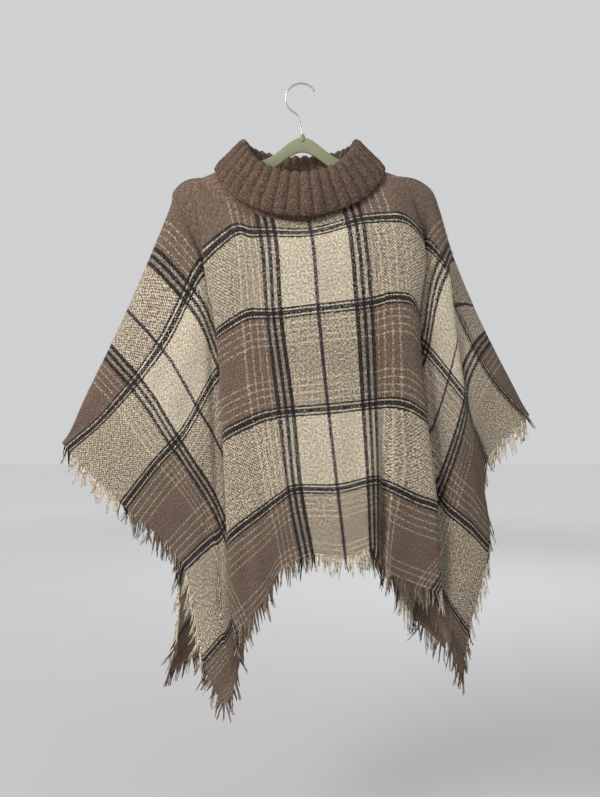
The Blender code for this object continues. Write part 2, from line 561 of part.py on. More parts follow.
def add_hanger():
    """Flat hanger with sloping arms, a crown in the middle and a nub for the hook."""
    section = 10
    xs = [HANGER_MIDDLE + HANGER_HALF * math.sin(math.pi / 2.0 * share)
          for share in np.linspace(-1.0, 1.0, 37)]
    vertices = []
    for x in xs:
        reach = abs(x - HANGER_MIDDLE) / HANGER_HALF
        height = HANGER_HEIGHT + (HANGER_TIP_HEIGHT - HANGER_HEIGHT) * reach
        end = max(0.25, math.sqrt(max(0.0, 1.0 - ((reach - 0.94) / 0.065) ** 2))) if reach > 0.94 else 1.0
        radius = HANGER_THICKNESS / 2.0 * min(1.0, 0.4 + 0.6 * end)
        straight = max(height * end - 2.0 * radius, 0.02)
        centre = hanger_top(x) + radius + (1.0 - end) * 0.35
        for step in range(section):
            angle = 2.0 * math.pi * step / section
            lower = straight if math.cos(angle) < -1e-6 else 0.0
            vertices.append(place(x, centre - radius * math.cos(angle) + lower,
                                  0.0) - np.array([0.0, radius * math.sin(angle) * CM, 0.0]))
    faces = []
    for index in range(len(xs) - 1):
        for step in range(section):
            after = (step + 1) % section
            faces.append((index * section + step, index * section + after,
                          (index + 1) * section + after, (index + 1) * section + step))
    faces.append(tuple(range(section)))
    faces.append(tuple((len(xs) - 1) * section + step for step in range(section)))
    body = make_object("hanger_body", vertices, faces, SAGE, 0.45)
    nub_low, nub_high = HANGER_CROWN_DROP + 0.6, HANGER_CROWN_DROP - NUB_HEIGHT
    mesh = bpy.data.meshes.new("nub")
    work = bmesh.new()
    bmesh.ops.create_cone(work, cap_ends=True, segments=12, radius1=NUB_RADIUS * CM,
                          radius2=NUB_RADIUS * 0.75 * CM, depth=(nub_low - nub_high) * CM)
    work.to_mesh(mesh)
    work.free()
    nub = bpy.data.objects.new("nub", mesh)
    nub.location = place(HANGER_MIDDLE, (nub_low + nub_high) / 2.0, 0.0)
    nub.hide_render = True
    nub.display_type = "WIRE"
    bpy.context.scene.collection.objects.link(nub)
    join = body.modifiers.new("nub", "BOOLEAN")
    join.operation = "UNION"
    join.object = nub


def add_hook():
    """Wire hook: a shank that swings out into an open ring, in one plane."""
    centre = np.array([0.2, WIRE_RADIUS - HOOK_RADIUS])
    path = [(HANGER_MIDDLE, -(HANGER_CROWN_DROP - NUB_HEIGHT) + SEAM / CM), (0.2, -7.4), (-0.1, -6.2),
            (-0.4, -5.25)]
    for degrees in range(236, 39, -14):
        angle = math.radians(degrees)
        path.append(tuple(centre + HOOK_RADIUS * np.array([math.cos(angle), math.sin(angle)])))
    path.append((2.3, -1.05))
    path.append((2.6, -0.95))
    curve = bpy.data.curves.new("hanger_hook", "CURVE")
    curve.dimensions = "3D"
    curve.bevel_depth = WIRE_RADIUS * CM
    curve.bevel_resolution = 2
    curve.use_fill_caps = True
    spline = curve.splines.new("POLY")
    spline.points.add(len(path) - 1)
    for point, (x, height) in zip(spline.points, path):
        point.co = (x * CM, 0.0, height * CM, 1.0)
    material = bpy.data.materials.new("hanger_hook")
    material.use_nodes = True
    shader = material.node_tree.nodes["Principled BSDF"]
    shader.inputs["Base Color"].default_value = (*CHROME, 1.0)
    shader.inputs["Roughness"].default_value = 0.25
    shader.inputs["Metallic"].default_value = 1.0
    curve.materials.append(material)
    hook = bpy.data.objects.new("hanger_hook", curve)
    bpy.context.scene.collection.objects.link(hook)


def main():
    for thing in list(bpy.data.objects):
        bpy.data.objects.remove(thing)
    front = add_panel("front_panel", Cloth(FRONT_FOLDS, 1), FRONT_STEPS, NECK_FRONT)
    back = add_panel("back_panel", Cloth(BACK_FOLDS, -1), BACK_STEPS, NECK_BACK)
    add_neck_band(front, back)
    add_collar()
    add_panel_fringe("front", front[0], front[1], 11)
    add_panel_fringe("back", back[0], back[1], 23)
    add_hanger()
    add_hook()


main()
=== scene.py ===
"""Looks of the plaid wool poncho: woven cloth, knitted collar, fringe, hanger, light and camera.

Metres, +Z up, -Y towards the viewer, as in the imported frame. The tables are in centimetres. Each
place in them is as it lines up with the hanger's plane, seen from the eye in front of it.
"""
import math
from collections import namedtuple

import bmesh
import bpy
import numpy as np
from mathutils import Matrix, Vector


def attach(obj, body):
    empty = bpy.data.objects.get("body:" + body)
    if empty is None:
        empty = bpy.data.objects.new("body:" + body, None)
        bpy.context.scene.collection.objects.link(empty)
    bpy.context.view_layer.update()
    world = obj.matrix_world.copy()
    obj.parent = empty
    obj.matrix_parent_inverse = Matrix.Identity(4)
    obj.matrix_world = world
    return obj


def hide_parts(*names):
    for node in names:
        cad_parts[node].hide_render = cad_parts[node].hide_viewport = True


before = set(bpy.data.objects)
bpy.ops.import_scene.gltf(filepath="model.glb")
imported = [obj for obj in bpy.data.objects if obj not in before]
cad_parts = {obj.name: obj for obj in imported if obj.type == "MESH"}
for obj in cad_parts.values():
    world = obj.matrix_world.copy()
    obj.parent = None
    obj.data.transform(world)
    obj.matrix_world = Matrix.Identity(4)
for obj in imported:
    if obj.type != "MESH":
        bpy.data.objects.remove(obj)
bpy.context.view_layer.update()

CM = 0.01

# The eye, how far out the hanger's plane counts, and half the height that the picture shows there
EYE_DISTANCE = 150.0
EYE_DROP = 53.4
PLANE_HALF = 0.5
VIEW_HALF_HEIGHT = 67.75

# The woven square, and how much of each half shows, in square metres
HALF_WIDTH = 70.7
CLOTH_LENGTH = 65.0
CLOTH_THICKNESS = 0.24
NECK_HALF = 17.7
NeckCut = namedtuple("NeckCut", "depth left right")
NECK_FRONT = NeckCut(5.0, 2.2, 1.35)
NECK_BACK = NeckCut(3.0, 2.0, 2.0)
TIP_SLIP = 5.1
TIP_SLIP_FROM = 56.0
ROLL_OVER = 0.3
ROLL_LENGTH = 0.6

# Spacing of the cloth's mesh, and the rows added where it rounds over the shoulders
CELL = 0.55
ROW_CELL = 0.5
TOP_ROWS = (0.0, 0.07, 0.15, 0.25, 0.37, 0.5, 0.66, 0.85, 1.1, 1.4, 1.8)
CORNER_STEPS = (0.006, 0.015, 0.03, 0.05, 0.08, 0.12, 0.18, 0.26)
PROBE = 0.05

# How far down the creases begin, and the length over which they grow to their full depth
CREASE_FROM = 1.5
CREASE_GROWTH = 4.0

# Hanger and hook
HANGER_HALF = 20.6
HANGER_MIDDLE = 0.4
HANGER_THICKNESS = 0.46
HANGER_CROWN_DROP = 9.0
HANGER_NECK_DROP = 12.75
HANGER_NECK_HALF = 6.3
HANGER_SLOPE = 0.319
HANGER_HEIGHT = 2.6
HANGER_TIP_HEIGHT = 1.6
HANGER_TIP_FROM = 0.94
HANGER_TIP_SHARE = 0.062
CLOTH_REST = 0.08
WIRE_RADIUS = 0.175
HOOK_RADIUS = 2.6
HOOK_CENTRE = 0.2
HOOK_SHANK = ((0.2, -7.4), (-0.1, -6.2), (-0.4, -5.25))
HOOK_TIP = ((2.3, -1.05), (2.55, -0.97))
HOOK_ARC = range(236, 39, -14)
NUB_RADIUS = 0.45
NUB_HEIGHT = 0.5

# Collar and neck band. The flat sizes are in metres, all round and from edge to edge
RIB_COUNT = 38
RIB_DEPTH = 0.52
LOOP_DEPTH = 0.035
RIB_COLUMNS = 18
STITCH_LENGTH = 0.62
SIDE_SOFTNESS = 0.15
BAND_THICKNESS = 0.2
BAND_TURN = 0.3
BAND_GAP = 0.03
BAND_HALF_WIDTH = 17.0
BAND_FRONT = 5.0
BAND_BACK = 2.6

# Fringe and nap. A side's fringe starts some way down from the shoulder fold
SIDE_FRINGE_FROM = 6.0
FRINGE_LENGTH = 2.5
TUFT_WIDTH = 0.62
TUFT_YARNS = 3
YARN_RADIUS = 0.115
NAP_COUNT = (12000, 9000)
NAP_LENGTH = 0.50
NAP_RADIUS = 0.020
NAP_ROOT = 0.02

# The plaid, in centimetres of cloth. Across: plum lines, and groups of three black lines that part
# cream ground from brown. Down: groups of black lines, repeated. Near the shoulders the threads
# that run across are plain brown.
YARN_PITCH = 0.25
WARP_GROUPS = (7.45, 34.65, 52.35)
WARP_PLUM = 44.35
YOKE_PLAIN = 6.0
PLUM_HALF = 0.3
WEFT_REPEAT = 30.2
WEFT_FIRST = -9.4
WEFT_BROWN = 16.7
GROUP_REACH = 9.0

# Colours
BROWN = (0.185, 0.125, 0.090)
CREAM = (0.700, 0.605, 0.455)
GREY = (0.370, 0.315, 0.250)
STRIPE = (0.520, 0.435, 0.320)
BLACK = (0.012, 0.010, 0.012)
PLUM = (0.045, 0.020, 0.042)
KNIT_DARK = (0.062, 0.037, 0.024)
KNIT_MIDDLE = (0.130, 0.081, 0.055)
KNIT_LIGHT = (0.330, 0.230, 0.165)
SAGE = (0.300, 0.315, 0.190)
# The floor's near colour is painted shade, which fades into the pale far colour
FLOOR_SHADED_NEAR = (0.50, 0.50, 0.51)
FLOOR_FAR = (0.93, 0.93, 0.93)

# How far a thread of each kind lies on top of those that it crosses
BLACK_TOP = 0.92
PLUM_TOP = 0.85
GROUND_TOP = 0.5
PIN_TOP = 0.45

# Lines of a group of stripes, from its cream side to its brown side, each with the ground after it
Line = namedtuple("Line", "middle half color ground")
PIN_SPACING = 1.2
PIN_COUNT = 4


def pinstripes(first, half):
    """Pale lines on the brown ground, evenly spaced."""
    return tuple(Line(first + PIN_SPACING * index, half, STRIPE, BROWN) for index in range(PIN_COUNT))


WARP_LINES = (
    Line(-1.2, 0.35, BLACK, GREY),
    Line(0.0, 0.35, BLACK, GREY),
    Line(1.2, 0.35, BLACK, BROWN),
) + pinstripes(2.3, 0.15)
WEFT_LINES = (
    Line(-0.78, 0.20, BLACK, CREAM),
    Line(0.0, 0.42, BLACK, CREAM),
    Line(0.78, 0.20, BLACK, BROWN),
) + pinstripes(1.8, 0.14)

# Light and floor, in metres
FLOOR_HALF = 9.0
FLOOR_HEIGHT = -1.32
# Distances from the middle over which the floor's painted shade fades out
FLOOR_SHADE_FROM = 1.3
FLOOR_SHADE_TO = 5.0
LIT_POINT = (0.0, 0.0, -0.5)
SURROUND = (0.98, 0.99, 1.0, 1.0)
SURROUND_STRENGTH = 0.64

# Distances down the cloth of the levels: shoulder fold, yoke, bust, waist, hip and hem
LEVELS = (0.0, 7.3, 20.9, 37.7, 50.5, CLOTH_LENGTH)

# The fold over the shoulders: distance along the cloth from its middle, then where it hangs.
FoldLine = namedtuple("FoldLine", "along x drop")
FOLD_LINE = (
    FoldLine(-70.7, -40.3, 60.9),
    FoldLine(-59.5, -35.5, 51.5),
    FoldLine(-52.0, -32.8, 46.1),
    FoldLine(-44.0, -29.1, 38.1),
    FoldLine(-34.3, -25.0, 29.2),
    FoldLine(-26.9, -22.3, 22.0),
    FoldLine(-22.1, -20.9, 17.6),
    FoldLine(-17.7, -17.0, 15.9),
    FoldLine(-12.8, -12.6, 17.2),
    FoldLine(-7.1, -6.5, 19.6),
    FoldLine(0.0, 0.5, 20.6),
    FoldLine(7.8, 8.0, 18.5),
    FoldLine(13.0, 12.8, 16.8),
    FoldLine(17.7, 17.0, 15.7),
    FoldLine(22.1, 21.6, 17.4),
    FoldLine(26.4, 23.6, 21.6),
    FoldLine(34.0, 25.5, 28.2),
    FoldLine(40.0, 27.9, 34.7),
    FoldLine(52.7, 31.8, 43.0),
    FoldLine(62.0, 35.4, 50.0),
    FoldLine(70.7, 38.8, 56.1),
)

# One row for each fold of the cloth, from the left edge to the right one. "along" is where the fold
# starts on the shoulder fold. The next columns are the levels, each (x, drop, forward). "weave" is
# which thread across the cloth the fold has reached at each of those levels. It is left out where
# the fold follows one thread.
Fold = namedtuple("Fold", "name along yoke bust waist hip hem weave", defaults=((),))
FRONT_FOLDS = (
    Fold("left_edge", -70.7, (-39.4, 62.1, 0.6), (-29.9, 71.6, 1.0), (-19.7, 82.1, 1.4),
         (-16.5, 97.4, 1.8), (-13.3, 105.1, 2.0)),
    Fold("left_outer", -59.5, (-32.1, 55.4, 1.6), (-24.7, 64.9, 2.4), (-16.7, 79.2, 2.8),
         (-14.6, 95.2, 2.8), (-12.2, 104.4, 2.8), (-59.5, -59.5, -62.9, -67.2, -68.2)),
    Fold("left_mid", -44.0, (-23.5, 44.4, 2.8), (-19.6, 59.0, 3.4), (-15.0, 77.7, 3.4),
         (-13.4, 93.8, 3.2), (-11.4, 102.7, 3.2), (-44.0, -49.3, -57.8, -65.1, -66.6)),
    Fold("left_inner", -26.9, (-17.5, 32.6, 3.0), (-15.1, 51.0, 3.4), (-13.1, 76.2, 3.4),
         (-12.2, 92.5, 3.2), (-10.7, 100.0, 3.0), (-31.3, -39.3, -53.6, -62.9, -64.6)),
    Fold("left_turn", -23.1, (-15.8, 31.2, 2.0), (-11.9, 46.9, 1.7), (-9.4, 68.5, 1.4),
         (-8.8, 84.0, 1.3), (-8.9, 92.4, 1.3), (-27.2, -31.5, -40.8, -49.3, -56.1)),
    Fold("left_return", -20.3, (-15.2, 30.2, 2.9), (-11.0, 45.6, 2.9), (-8.4, 66.2, 2.8),
         (-7.8, 81.8, 2.8), (-7.9, 90.0, 2.8), (-24.8, -25.5, -31.5, -37.4, -45.9)),
    Fold("left_under", -18.9, (-15.9, 29.5, 3.6), (-13.4, 43.3, 4.5), (-12.2, 61.4, 5.2),
         (-11.4, 77.8, 5.5), (-10.5, 93.2, 5.5), (-22.1, -20.1, -21.2, -26.4, -37.4)),
    Fold("left_lead", -17.7, (-16.0, 29.1, 4.4), (-13.8, 42.3, 5.8), (-12.6, 59.8, 6.6),
         (-11.9, 76.2, 7.0), (-10.9, 93.2, 7.0), (-20.7, -17.9, -18.4, -23.0, -34.0)),
    Fold("left_lobe", -12.8, (-11.2, 25.0, 5.4), (-9.2, 39.4, 6.8), (-7.3, 57.1, 7.5),
         (-6.1, 71.7, 7.9), (-6.1, 87.6, 7.6), (-13.6, -12.8, -12.8, -14.5, -21.2)),
    Fold("left_lobe_edge", -10.0, (-8.2, 25.3, 5.8), (-6.5, 39.1, 7.0), (-4.6, 56.3, 7.7),
         (-3.1, 69.5, 8.0), (-3.6, 82.8, 8.0), (-10.2, -9.9, -9.9, -10.5, -14.5)),
    Fold("centre_left", -7.1, (-5.1, 25.3, 6.0), (-4.1, 39.1, 7.3), (-1.9, 55.9, 8.0),
         (-0.7, 68.3, 8.4), (1.5, 80.1, 8.5)),
    Fold("centre", 0.0, (1.9, 25.3, 6.2), (3.1, 38.3, 7.6), (4.8, 55.4, 8.3),
         (6.3, 68.2, 8.6), (7.7, 80.4, 8.6)),
    Fold("centre_right", 7.8, (9.7, 23.3, 5.8), (11.2, 37.4, 7.2), (12.1, 54.6, 7.8),
         (12.6, 66.8, 8.0), (12.8, 78.7, 8.0)),
    Fold("right_tuck", 10.5, (12.1, 23.0, 5.5), (13.6, 36.9, 6.9), (13.9, 54.4, 7.4),
         (14.0, 67.4, 7.0), (13.9, 80.6, 6.3), (10.5, 10.5, 10.5, 11.2, 11.9)),
    Fold("right_lobe_edge", 13.0, (14.5, 22.8, 5.3), (15.5, 36.4, 6.8), (16.3, 54.4, 7.5),
         (15.7, 68.0, 7.8), (15.2, 83.0, 7.8), (12.6, 12.2, 12.6, 12.2, 13.6)),
    Fold("right_lobe", 15.5, (17.9, 23.0, 5.2), (18.7, 36.7, 6.4), (18.9, 55.1, 7.0),
         (19.7, 69.9, 7.2), (18.4, 84.5, 7.2), (16.0, 15.6, 14.8, 15.6, 25.5)),
    Fold("right_lead", 17.7, (20.6, 25.8, 4.4), (20.1, 39.4, 5.6), (21.3, 56.8, 6.2),
         (22.8, 71.1, 6.4), (23.6, 86.4, 5.8), (20.4, 18.5, 17.7, 19.6, 36.6)),
    Fold("right_under", 18.9, (20.4, 26.4, 3.6), (19.8, 40.2, 4.4), (21.0, 57.8, 4.8),
         (22.4, 72.2, 4.9), (23.3, 86.2, 4.5), (21.6, 20.1, 20.4, 23.8, 39.1)),
    Fold("right_return", 20.3, (19.6, 27.4, 3.0), (17.6, 42.4, 2.9), (17.4, 61.0, 2.8),
         (18.4, 75.4, 2.8), (19.6, 83.6, 2.8), (23.8, 24.7, 30.6, 34.0, 45.1)),
    Fold("right_turn", 23.1, (20.4, 28.0, 2.1), (18.6, 43.6, 1.7), (18.4, 63.2, 1.4),
         (19.4, 77.6, 1.3), (20.4, 85.4, 1.3), (26.4, 30.6, 42.5, 49.3, 54.4)),
    Fold("right_inner", 26.4, (21.9, 27.5, 3.4), (21.4, 45.2, 3.8), (24.0, 71.2, 3.8),
         (25.0, 87.2, 4.0), (24.9, 93.6, 4.2), (30.1, 35.4, 54.4, 63.2, 65.5)),
    Fold("flap_ridge", 34.0, (25.5, 32.0, 4.4), (26.9, 51.9, 4.2), (26.8, 73.8, 4.2),
         (26.3, 89.2, 4.0), (25.6, 95.9, 3.9), (36.6, 48.5, 59.8, 66.3, 67.5)),
    Fold("flap_valley", 40.0, (25.0, 34.0, 2.0), (28.2, 54.1, 3.2), (28.9, 75.5, 3.4),
         (27.2, 90.6, 3.4), (26.2, 97.4, 3.3), (40.8, 53.0, 63.6, 67.8, 68.5)),
    Fold("right_outer", 52.7, (29.2, 44.4, 2.6), (29.4, 58.5, 2.8), (30.4, 77.2, 2.6),
         (27.8, 91.5, 2.8), (26.7, 98.7, 2.7), (51.0, 58.7, 67.2, 69.4, 69.5)),
    Fold("right_tip", 62.0, (33.8, 51.7, 1.8), (30.6, 61.5, 1.8), (31.3, 78.2, 1.8),
         (28.3, 92.1, 2.2), (27.1, 99.6, 2.1), (61.2, 64.9, 68.9, 70.0, 70.2)),
    Fold("right_edge", 70.7, (38.4, 56.8, 0.6), (31.5, 64.3, 0.8), (32.0, 78.9, 1.2),
         (28.6, 92.6, 1.6), (27.4, 100.2, 1.6)),
)
BACK_FOLDS = (
    Fold("left_edge", -70.7, (-38.8, 61.5, -0.6), (-29.2, 70.2, -1.0), (-21.1, 80.9, -1.4),
         (-20.7, 92.0, -1.7), (-22.3, 100.3, -1.8)),
    Fold("left_outer", -59.5, (-32.0, 54.6, -1.4), (-24.1, 63.1, -2.2), (-18.7, 78.4, -2.6),
         (-18.7, 89.4, -2.8), (-20.1, 98.6, -2.8), (-59.5, -60.0, -62.1, -64.1, -65.1)),
    Fold("left_mid", -44.0, (-24.1, 42.7, -2.2), (-19.4, 57.1, -3.0), (-16.4, 75.0, -3.2),
         (-16.0, 86.9, -3.2), (-17.3, 96.6, -3.2), (-44.0, -47.9, -54.1, -57.0, -59.0)),
    Fold("left_inner", -26.9, (-18.4, 31.6, -2.8), (-15.8, 49.5, -3.4), (-13.8, 70.7, -3.4),
         (-13.2, 83.5, -3.4), (-13.7, 93.2, -3.4), (-29.9, -38.1, -45.9, -50.0, -52.0)),
    Fold("left_turn", -22.1, (-16.9, 29.6, -1.8), (-13.6, 46.1, -1.6), (-11.4, 65.6, -1.5),
         (-10.7, 78.8, -1.5), (-11.0, 89.0, -1.5), (-25.0, -28.9, -34.0, -37.1, -38.9)),
    Fold("left_lead", -17.7, (-15.0, 27.4, -2.6), (-11.2, 42.7, -3.2), (-9.0, 60.5, -3.4),
         (-8.2, 74.1, -3.5), (-8.4, 85.4, -3.5), (-20.1, -20.1, -21.1, -22.1, -24.0)),
    Fold("left_back", -10.0, (-9.6, 23.9, -3.2), (-6.2, 38.6, -3.5), (-4.0, 55.3, -3.6),
         (-3.2, 68.1, -3.6), (-3.2, 81.4, -3.6)),
    Fold("centre", 0.0, (0.3, 24.1, -3.3), (1.4, 37.6, -3.6), (2.4, 53.7, -3.6),
         (3.1, 66.5, -3.6), (3.4, 79.2, -3.6)),
    Fold("right_back", 10.0, (9.6, 23.0, -3.2), (10.4, 36.9, -3.5), (10.6, 53.7, -3.6),
         (10.6, 66.5, -3.6), (10.6, 79.8, -3.6)),
    Fold("right_lead", 17.7, (19.2, 25.6, -2.6), (18.0, 39.6, -3.2), (17.4, 56.6, -3.4),
         (17.0, 69.7, -3.5), (15.6, 84.2, -3.5), (20.1, 20.1, 21.1, 22.1, 26.0)),
    Fold("right_turn", 22.1, (20.9, 27.4, -1.8), (20.6, 43.4, -1.6), (20.3, 62.2, -1.5),
         (19.8, 75.3, -1.5), (17.8, 88.4, -1.5), (25.0, 28.9, 34.0, 38.1, 42.0)),
    Fold("right_inner", 26.4, (22.4, 28.8, -2.8), (22.9, 46.9, -3.4), (22.9, 67.3, -3.4),
         (22.3, 80.9, -3.4), (20.0, 91.3, -3.4), (29.9, 38.1, 47.9, 54.1, 57.0)),
    Fold("right_mid", 34.0, (25.8, 35.0, -2.4), (26.5, 52.0, -3.0), (25.8, 71.6, -3.2),
         (24.5, 84.3, -3.2), (21.8, 93.0, -3.2), (40.0, 50.0, 58.0, 62.1, 63.6)),
    Fold("right_outer", 52.7, (30.9, 46.1, -1.6), (29.6, 58.8, -2.2), (28.2, 75.8, -2.4),
         (25.8, 86.9, -2.4), (23.0, 94.2, -2.6), (54.1, 60.0, 64.9, 67.5, 68.0)),
    Fold("right_edge", 70.7, (37.7, 56.8, -0.6), (31.3, 63.2, -1.0), (29.6, 78.4, -1.4),
         (26.9, 88.1, -1.7), (24.1, 95.0, -1.8)),
)

# Soft creases in the outer layer, as lines in the front view: (x, drop) at both ends, how wide, and
# how deep. A negative depth is a ridge.
Crease = namedtuple("Crease", "start end width depth")
FRONT_CREASES = (
    Crease((-8.5, 27.0), (-5.2, 58.0), 1.5, 0.30),
    Crease((-3.0, 24.5), (-1.6, 48.0), 1.7, 0.22),
    Crease((4.6, 26.0), (6.0, 50.0), 1.6, 0.24),
    Crease((7.6, 45.0), (9.8, 74.0), 1.5, 0.28),
    Crease((1.6, 52.0), (4.6, 80.0), 1.8, 0.26),
    Crease((-6.8, 58.0), (-4.6, 84.0), 1.3, 0.34),
    Crease((-9.6, 62.0), (-8.2, 92.0), 1.0, 0.30),
    Crease((-14.0, 26.0), (-4.0, 33.0), 2.0, 0.30),
    Crease((2.0, 30.5), (15.0, 27.0), 1.9, 0.26),
    Crease((17.0, 21.0), (16.6, 40.0), 1.3, 0.28),
    Crease((13.8, 66.0), (13.9, 84.0), 0.8, 0.45),
    Crease((17.4, 50.0), (18.2, 78.0), 1.2, 0.30),
    Crease((21.5, 60.0), (22.4, 84.0), 0.9, -0.22),
    Crease((-19.5, 27.0), (-29.0, 52.0), 1.7, 0.32),
    Crease((-18.0, 36.0), (-27.0, 62.0), 1.8, 0.30),
    Crease((-16.6, 44.0), (-21.5, 70.0), 1.5, 0.34),
    Crease((-15.6, 60.0), (-15.2, 84.0), 1.1, 0.30),
    Crease((-13.4, 80.0), (-11.8, 101.0), 1.0, 0.28),
    Crease((-32.0, 52.0), (-37.5, 60.0), 1.6, 0.30),
    Crease((24.2, 24.0), (27.2, 44.0), 1.1, 0.30),
    Crease((27.4, 56.0), (28.2, 80.0), 1.1, 0.30),
    Crease((24.5, 62.0), (25.6, 90.0), 1.2, 0.26),
    Crease((31.0, 45.0), (33.6, 57.0), 1.3, 0.28),
    Crease((-15.0, 38.0), (-12.9, 88.0), 0.7, 0.50),
    Crease((20.9, 40.0), (24.0, 84.0), 0.7, 0.45),
)
BACK_CREASES = (
    Crease((-6.5, 26.0), (-5.0, 60.0), 1.8, 0.28),
    Crease((3.5, 25.0), (5.0, 70.0), 1.9, 0.26),
    Crease((8.2, 40.0), (9.0, 76.0), 1.5, 0.26),
    Crease((-1.5, 50.0), (-0.5, 78.0), 1.7, 0.24),
    Crease((-12.0, 24.0), (-3.0, 31.0), 2.0, 0.26),
    Crease((3.0, 30.0), (13.5, 25.0), 2.0, 0.26),
    Crease((-20.0, 30.0), (-28.0, 52.0), 1.8, 0.30),
    Crease((-18.0, 44.0), (-23.0, 70.0), 1.7, 0.30),
    Crease((-16.5, 62.0), (-17.5, 90.0), 1.3, 0.28),
    Crease((16.0, 40.0), (15.0, 74.0), 1.4, 0.30),
    Crease((23.0, 30.0), (27.5, 50.0), 1.6, 0.30),
    Crease((23.5, 54.0), (25.0, 78.0), 1.5, 0.28),
    Crease((20.5, 66.0), (19.0, 90.0), 1.2, 0.28),
)

# Sections round the collar, from the turned edge over the rim to the base and back up between the
# two layers. Each ring is half as wide as "half", reaches "front" and "back" of the hanger's plane,
# and dips from its sides to its front and back. "rib" is its share of the ribs' depth.
Ring = namedtuple("Ring", "name half front back drop_front drop_side drop_back rib")
COLLAR_RINGS = (
    Ring("turned edge", 14.4, 6.7, 3.7, 22.2, 14.5, 17.5, 0.8),
    Ring("roll low", 13.7, 7.1, 3.9, 20.6, 13.4, 16.3, 1.0),
    Ring("roll middle", 12.1, 7.0, 4.0, 18.4, 11.8, 14.8, 1.0),
    Ring("roll high", 10.8, 6.5, 3.9, 16.5, 10.5, 13.4, 1.0),
    Ring("rim outside", 10.1, 5.9, 3.6, 15.4, 9.8, 12.5, 0.95),
    Ring("rim top", 9.6, 5.4, 3.2, 15.1, 9.55, 12.2, 0.9),
    Ring("rim inside", 9.1, 4.9, 2.8, 15.4, 9.9, 12.5, 0.8),
    Ring("stand high", 9.1, 4.6, 2.6, 17.0, 11.4, 14.0, 0.6),
    Ring("base inside", 12.1, 4.2, 2.2, 20.6, 13.75, 16.6, 0.3),
    Ring("base outside", 12.5, 4.6, 2.6, 20.6, 13.85, 16.6, 0.0),
    Ring("slot top", 9.6, 5.3, 3.1, 16.9, 11.1, 14.0, 0.0),
    Ring("roll inside", 11.6, 6.4, 3.5, 18.5, 12.1, 15.1, 0.0),
    Ring("turned edge inside", 13.9, 6.2, 3.3, 22.1, 14.4, 17.4, 0.0),
)
RING_STEPS = (5, 6, 6, 4, 4, 4, 5, 8, 2, 5, 3, 4, 3)
BAND_TOP = Ring("band top", 12.3, 4.4, 2.4, 20.9, 14.15, 16.9, 0.0)


def place(x, drop, forward):
    """Turn measured places, in centimetres, into points in metres."""
    stands_off = np.maximum(np.abs(forward) - PLANE_HALF, 0.0) * np.sign(forward)
    shrink = 1.0 - stands_off / EYE_DISTANCE
    height = EYE_DROP + (np.asarray(drop, float) - EYE_DROP) * shrink
    return np.stack([np.asarray(x, float) * shrink, -np.asarray(forward, float), -height], -1) * CM


def unit(vectors):
    """Vectors scaled to length one."""
    lengths = np.linalg.norm(vectors, axis=-1, keepdims=True)
    return vectors / np.maximum(lengths, 1e-12)


def slopes(knots, values):
    """Slopes of a smooth curve through values at unevenly spaced knots."""
    steps = np.diff(knots)
    chords = np.diff(values, axis=0) / steps[:, None]
    before, after = steps[:-1, None], steps[1:, None]
    inner = (chords[:-1] * after + chords[1:] * before) / (before + after)
    return np.vstack([chords[:1], inner, chords[-1:]])


def hermite(start, end, slope_start, slope_end, width, share):
    """Cubic between two values that leaves and arrives with the given slopes."""
    a = (1.0 + 2.0 * share) * (1.0 - share) ** 2
    b = share * (1.0 - share) ** 2 * width
    c = share * share * (3.0 - 2.0 * share)
    d = share * share * (share - 1.0) * width
    return a * start + b * slope_start + c * end + d * slope_end


def curve_at(knots, values, tangents, at):
    """Points of a smooth curve at an array of knot values."""
    at = np.atleast_1d(at)
    index = np.clip(np.searchsorted(knots, at, side="right") - 1, 0, len(knots) - 2)
    width = (knots[index + 1] - knots[index])[:, None]
    share = np.clip((at[:, None] - knots[index][:, None]) / width, 0.0, 1.0)
    return hermite(values[index], values[index + 1], tangents[index], tangents[index + 1], width, share)


def hanger_top(x):
    """Drop of the hanger's upper edge: a hump in the middle and two straight arms."""
    reach = abs(x - HANGER_MIDDLE)
    if reach >= HANGER_NECK_HALF:
        return HANGER_NECK_DROP + HANGER_SLOPE * (reach - HANGER_NECK_HALF)
    share = reach / HANGER_NECK_HALF
    fall = HANGER_NECK_DROP - HANGER_CROWN_DROP
    slope = HANGER_SLOPE * HANGER_NECK_HALF
    ease = share * share * (3.0 - 2.0 * share)
    return HANGER_CROWN_DROP + fall * ease + slope * share * share * (share - 1.0)


def fold_point(along):
    """Place on the shoulder fold, resting on the hanger where the hanger is under it."""
    knots = np.array([row.along for row in FOLD_LINE])
    values = np.array([(row.x, row.drop) for row in FOLD_LINE])
    x, drop = curve_at(knots, values, slopes(knots, values), along)[0]
    if NECK_HALF - 0.1 <= abs(along) and abs(x - HANGER_MIDDLE) < HANGER_HALF:
        drop = hanger_top(x) - CLOTH_REST - CLOTH_THICKNESS / 2.0
    return np.array([x, drop, 0.0])


def tip_slip(along):
    """How far the fold over the arm runs off the cloth's middle line near the wing's tip."""
    share = max(0.0, (abs(along) - TIP_SLIP_FROM) / (HALF_WIDTH - TIP_SLIP_FROM))
    return TIP_SLIP * share * share


def neck_edge(along, cut):
    """How far down the cloth the neck's edge lies."""
    share = min(1.0, abs(along) / NECK_HALF)
    squareness = cut.left if along < 0.0 else cut.right
    return cut.depth * (1.0 - share ** squareness) ** (1.0 / squareness)


